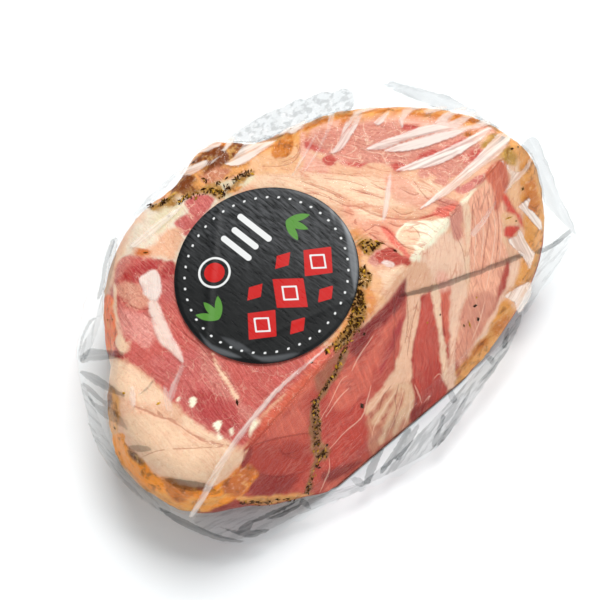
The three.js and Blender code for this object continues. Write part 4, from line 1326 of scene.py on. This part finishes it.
# Painted shade: grey where the film folds, for its darker reflections, and at the bottom partly the
# shadow on the skirt below the pack: strength, outline.
SHADES = (
    (0.55, ((402, 294), (440, 283), (480, 269), (522, 253), (524, 257), (482, 273), (442, 288),
     (404, 297))),
    (0.5, ((534, 251), (552, 243), (568, 230), (571, 233), (554, 247), (536, 255))),
    (0.42, ((80, 357), (90, 349), (104, 350), (123, 352), (120, 357), (104, 360), (92, 361), (82, 363))),
    (0.46, ((79, 371), (92, 373), (104, 380), (116, 389), (127, 397), (112, 393), (98, 386), (88, 380))),
    (0.42, ((82, 382), (92, 388), (104, 400), (111, 400), (109, 407), (98, 400), (88, 391))),
    (0.36, ((88, 396), (98, 405), (110, 407), (118, 413), (129, 430), (116, 423), (104, 417), (94, 407))),
    (0.42, ((111, 241), (115, 243), (108, 262), (105, 280), (101, 296), (97, 299), (101, 280),
     (104, 262))),
    (0.4, ((100, 316), (91, 323), (84, 337), (79, 354), (81, 338), (89, 321))),
    (0.56, ((158, 507), (178, 516), (198, 526), (222, 536), (247, 542), (222, 541), (196, 532),
     (174, 521))),
    (0.5, ((165, 478), (184, 480), (204, 483), (217, 490), (198, 491), (178, 488))),
    (0.4, ((126, 447), (140, 445), (153, 449), (140, 452))),
    (0.4, ((136, 396), (146, 388), (158, 374), (148, 389))),
    (0.3, ((520, 147), (536, 135), (545, 160), (560, 190), (574, 226), (576, 236), (560, 220), (545, 204),
     (538, 180), (530, 155))),
    (0.42, ((535, 134), (541, 146), (553, 168), (567, 200), (577, 236), (569, 222), (558, 196),
     (546, 172))),
    (0.3, ((384, 83), (400, 86), (440, 94), (470, 104), (486, 113), (500, 129), (484, 124), (464, 111),
     (440, 110), (420, 101), (402, 92))),
    (0.45, ((382, 83), (400, 90), (414, 96), (426, 103), (408, 97), (390, 89))),
    (0.42, ((386, 80), (410, 86), (440, 93), (470, 103), (488, 115), (500, 129), (482, 115), (460, 105),
     (430, 96), (405, 90))),
    (0.4, ((502, 347), (505, 333), (509, 328), (508, 340), (506, 348))),
    (0.34, ((486, 358), (490, 355), (495, 361), (492, 365))),
    (0.5, ((364, 482), (368, 466), (378, 452), (384, 449), (378, 463), (370, 483))),
    (0.58, ((379, 472), (388, 458), (396, 446), (404, 432), (411, 429), (402, 448), (391, 463),
     (382, 474))),
    (0.5, ((395, 458), (404, 444), (412, 430), (420, 423), (416, 434), (408, 448), (399, 460))),
    (0.34, ((350, 478), (360, 478), (363, 487), (356, 485))),
    (0.4, ((299, 500), (306, 500), (311, 509), (305, 507))),
    (0.6, ((248, 523), (272, 511), (304, 498), (280, 511), (262, 520))),
    (0.6, ((266, 519), (284, 511), (304, 502), (296, 509), (280, 517))),
    (0.5, ((220, 527), (240, 531), (269, 529), (262, 534), (250, 538), (236, 534))),
    (0.45, ((238, 529), (250, 520), (253, 524), (248, 531))),
    (0.4, ((431, 446), (436, 432), (442, 415), (445, 418), (440, 433), (436, 446))),
    (0.34, ((436, 442), (446, 428), (456, 412), (471, 389), (461, 413), (449, 433), (440, 444))),
    (0.34, ((447, 392), (452, 389), (457, 400), (452, 403))),
    (0.26, ((478, 384), (490, 368), (501, 354), (494, 368), (482, 382))),
)
# Crumpled parts of the skirt, greyed with painted shade; the band along the front cut's foot and the one
# below the pack stand for the shadow there: strength, outline, direction of the creases in degrees, their
# length and width.
CRUMPLE_SHADES = (
    (0.45, ((228, 140), (255, 120), (290, 103), (330, 89), (352, 92), (350, 112), (320, 119), (280, 138),
     (250, 143)), -25, 5, 3.2),
    (0.5, ((356, 488), (400, 452), (440, 412), (470, 378), (500, 345), (522, 312), (510, 352), (488, 386),
     (464, 414), (440, 444), (400, 468)), -52, 16, 1.8),
    (0.28, ((196, 516), (240, 500), (304, 497), (298, 514), (262, 532), (230, 540),
     (202, 530)), -24, 14, 2.2),
    (0.34, ((78, 352), (96, 318), (112, 244), (118, 246), (106, 300), (98, 330),
     (84, 362)), -76, 16, 1.6),
    (0.3, ((80, 384), (92, 398), (104, 432), (130, 472), (170, 508), (158, 510), (120, 478),
     (92, 436)), 48, 14, 1.6),
    (0.34, ((300, 503), (356, 484), (366, 484), (362, 492), (330, 502), (300, 514)), -20, 14, 1.6),
    (0.24, ((150, 206), (184, 166), (190, 160), (160, 186), (132, 216)), -45, 8, 2.4),
    (0.26, ((528, 270), (548, 246), (572, 236), (560, 262), (540, 290), (524, 316)), -50, 14, 2),
)
# Pixels: a fold's length and width where a patch gives none, how far round it is read, and no patch near.
FOLD_LENGTH, FOLD_WIDTH = 46, 3
PATCH_MARGIN, FAR_PATCH = 6, 9.0
film_noise = Noise(13)


def skirt_edge(angles):
    """The skirt's free edge at plan angles from the middle of the roll."""
    line = curve(SKIRT_OUTLINE, closed=True, steps=8)
    away = line - np.array(ROLL_CENTRE)
    turn = np.unwrap(np.arctan2(away[:, 1], away[:, 0]))
    radius = np.hypot(away[:, 0], away[:, 1])
    order = np.argsort(turn % TAU)
    radius = np.interp(angles, (turn % TAU)[order], radius[order], period=TAU)
    x = ROLL_CENTRE[0] + radius * np.cos(angles)
    y = ROLL_CENTRE[1] + radius * np.sin(angles)
    return np.stack([x, y, skirt_height(x, y)], -1)


def skirt_crinkle(angles, share, layer):
    """Heights of the skirt's radial folds: sharp crests that fade in from the root."""
    turn = angles + 0.05 * np.sin(9 * angles + layer)
    total = 0
    for count, height, shift in SKIRT_FOLDS:
        wave = np.sin(count * turn + shift + 0.6 * layer + 1.5 * np.sin(3 * angles + shift))
        total = total + height * (1 - 2 * np.abs(wave) ** 0.7)
    return total[None, :] * smooth(0, 0.8, share)[:, None]


def skirt_root(angles):
    """Where the skirt's plane meets the side, and the share of the height there."""
    share = np.zeros(len(angles))
    for _ in range(ROOT_PASSES):
        side = side_point(angles, share)
        share = skirt_height(side[:, 0], side[:, 1]) / top_height(side[:, 0])
    return side_point(angles, share), share


def skirt_rings(angles, near, edge, outward):
    """The skirt's two layers, out to its edge underneath and back above."""
    out_shares = np.linspace(0, 1, FILM_SKIRT_RINGS + 1)[1:]
    out = near + (edge - near) * out_shares[:, None, None]
    crinkle = skirt_crinkle(angles, out_shares, 0)
    slack = skirt_crinkle(angles, out_shares, 1) - crinkle
    open_gap = SKIRT_GAP + SKIRT_SLACK * np.abs(slack) * (1 - out_shares)[:, None]
    under, over = out.copy(), out.copy()
    under[..., 2] += crinkle - open_gap / 2
    over[..., 2] += crinkle + open_gap / 2
    rim = (under[-1:] + over[-1:]) / 2 + outward * RIM_OUT
    return [under, rim, over[::-1]]


def film_rings(angles):
    """Rings of the film from under the middle up the side, out and back along the skirt, and over the top."""
    edge = skirt_edge(angles)
    root, share = skirt_root(angles)
    near = root + (edge - root) * FLARE_OUT
    low, high = np.clip(share - FLARE_BELOW, 0, 1), np.clip(share + FLARE_ABOVE, 0, 1)

    def flare(start_share, way):
        """A curve from the side to the skirt, raised or lowered by half the skirt's gap."""
        start = side_point(angles, start_share)
        t = np.linspace(0, 1, FILM_FLARE_RINGS + 1)[1:, None, None]
        bow = start * (1 - t) ** 2 + root * 2 * t * (1 - t) + near * t ** 2
        return bow + np.array([0, 0, way * SKIRT_GAP / 2])

    below = pack_point(angles[None, :], -BELOW_SHARES[:, None])
    lower = side_point(angles[None, :], low * np.linspace(0, 1, FILM_LOW_RINGS)[:, None])
    outward = (edge - root) / np.linalg.norm(edge - root, axis=1)[:, None]
    upper = side_point(angles[None, :], high + (1 - high) * np.linspace(0, 1, FILM_SIDE_RINGS)[:, None])
    top = pack_point(angles[None, :], 1 + FILM_TOP_SHARES[:, None])
    skirt = skirt_rings(angles, near, edge, outward)
    return np.concatenate([below, lower, flare(low, -1), *skirt, flare(high, 1)[::-1], upper[1:], top])


def fold_direction(outline):
    """The direction in which an outline is longest."""
    return np.linalg.svd(outline - outline.mean(0), full_matrices=False)[2][0]


def draw_patches(px, shown, patches):
    """For the nearest of some patches: distance to its outline, its strength, and places along and across
    it."""
    gap, strength, weave = np.full(len(px), FAR_PATCH), np.zeros(len(px)), np.zeros((len(px), 3))
    for index, (power, corners, *given) in enumerate(patches):
        outline = curve(corners, closed=True, steps=3)
        some = near_to(px, outline, PATCH_MARGIN)
        some = some[shown[some] > 0.6]
        far = area_distance(px[some], outline)
        closer = far < gap[some]
        chosen = some[closer]
        along, length, width = fold_direction(outline), FOLD_LENGTH, FOLD_WIDTH
        if given:
            turn, length, width = given
            along = np.array([math.cos(math.radians(turn)), math.sin(math.radians(turn))])
        across = np.array([-along[1], along[0]])
        away = px[chosen] - outline.mean(0)
        gap[chosen], strength[chosen] = far[closer], power
        apart = np.full(len(chosen), float(PART_GAP * index))
        weave[chosen] = np.stack([away @ along / length, away @ across / width, apart], -1)
    return gap, strength, weave


def make_film():
    """The film drawn tight over the meat, with its loose skirt, the glints painted on it as highlights and
    its folds greyed with painted shade.
    """
    points, faces = closed_rings(film_rings(even_angles(FILM_COLUMNS)))
    normals = normals_of(points, faces)
    px, shown = project(points), facing(points, normals)
    kinds = {"glint": GLINTS, "shade": SHADES, "crumple_shade": CRUMPLE_SHADES}
    drawn = {name: draw_patches(px, shown, patches) for name, patches in kinds.items()}
    gap, strength, _ = drawn["glint"]
    height = GLINT_RELIEF * strength * smooth(2, -2, gap)
    height += CREASE_RELIEF * smooth(0.25, 0.0, np.abs(film_noise.layers(points, CREASE_CELL, 3)))
    height = (height + FILM_LIFT) * smooth(0, FILM_FLAT_FOOT, points[:, 2])
    surface = points + normals * height[:, None]
    piece = make_piece("film", surface, faces, film_material(), "film_pack")
    for name, (gap, strength, _) in drawn.items():
        store(piece, **{name + "_gap": gap, name + "_strength": strength})
    nearest = np.argmin([gap for gap, _, _ in drawn.values()], axis=0)
    store(piece, weave=np.choose(nearest[:, None], [weave for _, _, weave in drawn.values()]))


# ---------------------------------------------------------------- the label

LABEL_RINGS, LABEL_COLUMNS = 78, 500
LABEL_EDGE_DROP = 0.25
# Folds of the film under the label: height, share across, share up, shift and width in mm.
LABEL_FOLDS = ((0.16, 0.8, 0.6, 22, 1.6), (0.12, 1, -0.5, -27, 1.4))
# Light on the film's folds over the label, in the photograph's pixels: strength, outline.
LABEL_SHEEN = (
    (0.3, ((338, 204), (346, 216), (353, 240), (358, 268), (355, 292), (350, 270), (346, 240),
     (340, 218))),
    (0.2, ((326, 196), (334, 210), (336, 226), (330, 214))),
    (0.22, ((199, 332), (212, 344), (232, 352), (242, 358), (228, 357), (210, 350))),
    (0.16, ((244, 350), (262, 356), (300, 352), (286, 360), (262, 362))),
    (0.12, ((220, 336), (240, 342), (252, 352), (236, 350))),
)
# The print's own axes: across and up, on the sloping top cut.
LABEL_ACROSS = np.array([0, -1.0, 0])
LABEL_UP = np.cross(TOP_NORMAL, LABEL_ACROSS)
# The print, in millimetres from the label's middle.
COLUMN_X, COLUMN_ROWS = 13, (-17, 0, 17)
BADGE = (-17, -12.5)
DASH_RING, DASHES, DASH_GAP = 33.2, 44, 0.055
LINE_HALF, FINE_LINE_HALF, BAR_HALF = 0.45, 0.35, 1.25
BARS = ((12, 9), (6.2, 7), (0.8, 8))  # how far up, half length
SPRAYS = (((-9, 22), 0.3), ((-2, -26), 3.0))  # where from, which way
SPRAY_SPREAD, LEAF_OUT, LEAF_HALVES = 0.62, 5.2, (5.0, 1.5)


def bar(u, v, centre, half_length, half_width):
    """Distance to a level bar with round ends."""
    over = np.maximum(np.abs(u - centre[0]) - (half_length - half_width), 0)
    return np.hypot(over, v - centre[1]) - half_width


def disc(u, v, centre, radius):
    """Distance to a disc."""
    return np.hypot(u - centre[0], v - centre[1]) - radius


def almond(u, v, centre, half_length, half_width, turn):
    """Distance to a shape between two equal arcs, pointed at both ends."""
    c, s = math.cos(turn), math.sin(turn)
    du, dv = u - centre[0], v - centre[1]
    along, across = c * du + s * dv, -s * du + c * dv
    radius = (half_length ** 2 + half_width ** 2) / (2 * half_width)
    return np.hypot(along, np.abs(across) + radius - half_width) - radius


def lozenge(u, v, centre, half_width, half_height):
    """Distance to a lozenge's sides, near enough."""
    du, dv = np.abs(u - centre[0]), np.abs(v - centre[1])
    size = half_width * half_height / math.hypot(half_width, half_height)
    return (du / half_width + dv / half_height - 1) * size


def red_print(u, v):
    """A tall column of lozenges on the right, small ones beside it, and a small disc on the left."""
    shapes = [lozenge(u, v, (COLUMN_X, y), 9.5 - abs(y) * 0.1, 8) for y in COLUMN_ROWS]
    shapes += [lozenge(u, v, (x, y), 3.2, 4.6) for x in (1.5, 24.5) for y in (-8.5, 8.5)]
    return np.minimum.reduce([*shapes, disc(u, v, BADGE, 4.2)])


def white_print(u, v):
    """A broken ring near the rim, three bars of different length, and lines in the lozenges and round the
    disc."""
    turn = np.arctan2(v, u) / TAU * DASHES
    gaps = DASH_RING * (DASH_GAP - np.abs(turn % 1 - 0.5) * TAU / DASHES)
    shapes = [np.maximum(np.abs(disc(u, v, (0, 0), DASH_RING)) - LINE_HALF, gaps)]
    shapes += [bar(u, v, (BADGE[0], up), half_length, BAR_HALF) for up, half_length in BARS]
    shapes.append(np.abs(disc(u, v, BADGE, 6.2)) - LINE_HALF)
    shapes += [np.abs(lozenge(u, v, (COLUMN_X, y), 4.2, 3.6)) - FINE_LINE_HALF for y in COLUMN_ROWS]
    return np.minimum.reduce(shapes)


def green_print(u, v):
    """Two sprays of three narrow almonds, at the top left and low on the right."""
    shapes = []
    for (x, y), lean in SPRAYS:
        for turn in (lean - SPRAY_SPREAD, lean, lean + SPRAY_SPREAD):
            at = (x + LEAF_OUT * math.cos(turn), y + LEAF_OUT * math.sin(turn))
            shapes.append(almond(u, v, at, *LEAF_HALVES, turn))
    return np.minimum.reduce(shapes)


def make_label():
    """The sticker: a thin disc with its print, its rim pressed down and a few folds from the film below."""
    angles = np.arange(LABEL_COLUMNS) / LABEL_COLUMNS * TAU
    radii = np.linspace(0, LABEL_RADIUS, LABEL_RINGS + 1)[1:][::-1, None]
    u = np.append((radii * np.cos(angles)).ravel(), 0)
    v = np.append((radii * np.sin(angles)).ravel(), 0)
    fold = 0.05 * np.sin(0.23 * u + 1) * np.sin(0.19 * v)
    for height, across, up, shift, width in LABEL_FOLDS:
        fold += height * np.exp(-((across * u + up * v + shift) / width) ** 2)
    middle = np.array([*LABEL_CENTRE, top_height(LABEL_CENTRE[0])])
    flat = middle + u[:, None] * LABEL_ACROSS + v[:, None] * LABEL_UP
    drop = LABEL_EDGE_DROP * smooth(0.96, 1.0, np.hypot(u, v) / LABEL_RADIUS)
    face = flat + (LABEL_GAP + LABEL_THICKNESS + fold - drop)[:, None] * TOP_NORMAL
    foot = LABEL_GAP / 2 * TOP_NORMAL
    points = np.vstack([flat[:LABEL_COLUMNS] + foot, face, middle + foot])
    faces = ring_faces(LABEL_RINGS + 1, LABEL_COLUMNS, len(points) - 1, len(points) - 2)
    piece = make_piece("label_sticker", points, faces, label_material(), "label")

    def with_foot(values, blank):
        """Values of the printed face, with a blank one for each point of the foot."""
        values = np.asarray(values)
        before = np.full((LABEL_COLUMNS, *values.shape[1:]), float(blank))
        return np.concatenate([before, values, before[:1]])

    for name, shape in (("red", red_print), ("white", white_print), ("green", green_print)):
        store(piece, **{name: with_foot(shape(u, v), FAR_PATCH)})
    grain = np.stack([(u - v * 0.2) * 0.16, v, np.zeros(len(u))], -1) * MM
    sheen_gap, sheen_strength, _ = draw_patches(project(points), np.ones(len(points)), LABEL_SHEEN)
    # The slate's painted sheen, stronger toward the label's top.
    store(piece, slate=with_foot(smooth(-20, 30, v - 0.4 * u), 0), grain=with_foot(grain, 0),
          sheen_gap=sheen_gap, sheen_strength=sheen_strength)


# ---------------------------------------------------------------- the studio

FLOOR_HALF = 3.0
WORLD_STRENGTH, WORLD_COLOUR = 0.34, (0.84, 0.96, 1.0, 1.0)
# Lights: where they stand in metres from the pack, size and watts.
LIGHTS = (
    ("key", (0.54, 0.34, 1.28), 0.72, 19.5),
    ("front_fill", (-0.2, -1.4, 0.42), 1.0, 9.6),
    ("left_fill", (-1.3, 0.3, 0.5), 0.9, 3.2),
)


def make_studio():
    """A pale floor, an even world and three soft lights that point at the pack."""
    mesh = bpy.data.meshes.new("floor")
    corners = [(x * FLOOR_HALF, y * FLOOR_HALF, 0) for x, y in ((-1, -1), (1, -1), (1, 1), (-1, 1))]
    mesh.from_pydata(corners, [], [(0, 1, 2, 3)])
    mesh.materials.append(floor_material())
    floor = add_object("floor", mesh)
    world = bpy.data.worlds.new("studio")
    world.use_nodes = True
    background = world.node_tree.nodes["Background"].inputs
    background["Color"].default_value = WORLD_COLOUR
    background["Strength"].default_value = WORLD_STRENGTH
    bpy.context.scene.world = world
    for name, at, size, watts in LIGHTS:
        light = bpy.data.lights.new(name, "AREA")
        light.size, light.energy = size, watts
        aim(add_object(name, light), at, -Vector(at))
    bpy.context.scene.view_settings.view_transform = "Standard"


make_camera()
make_studio()
make_herbs(*make_meat())
make_film()
make_label()
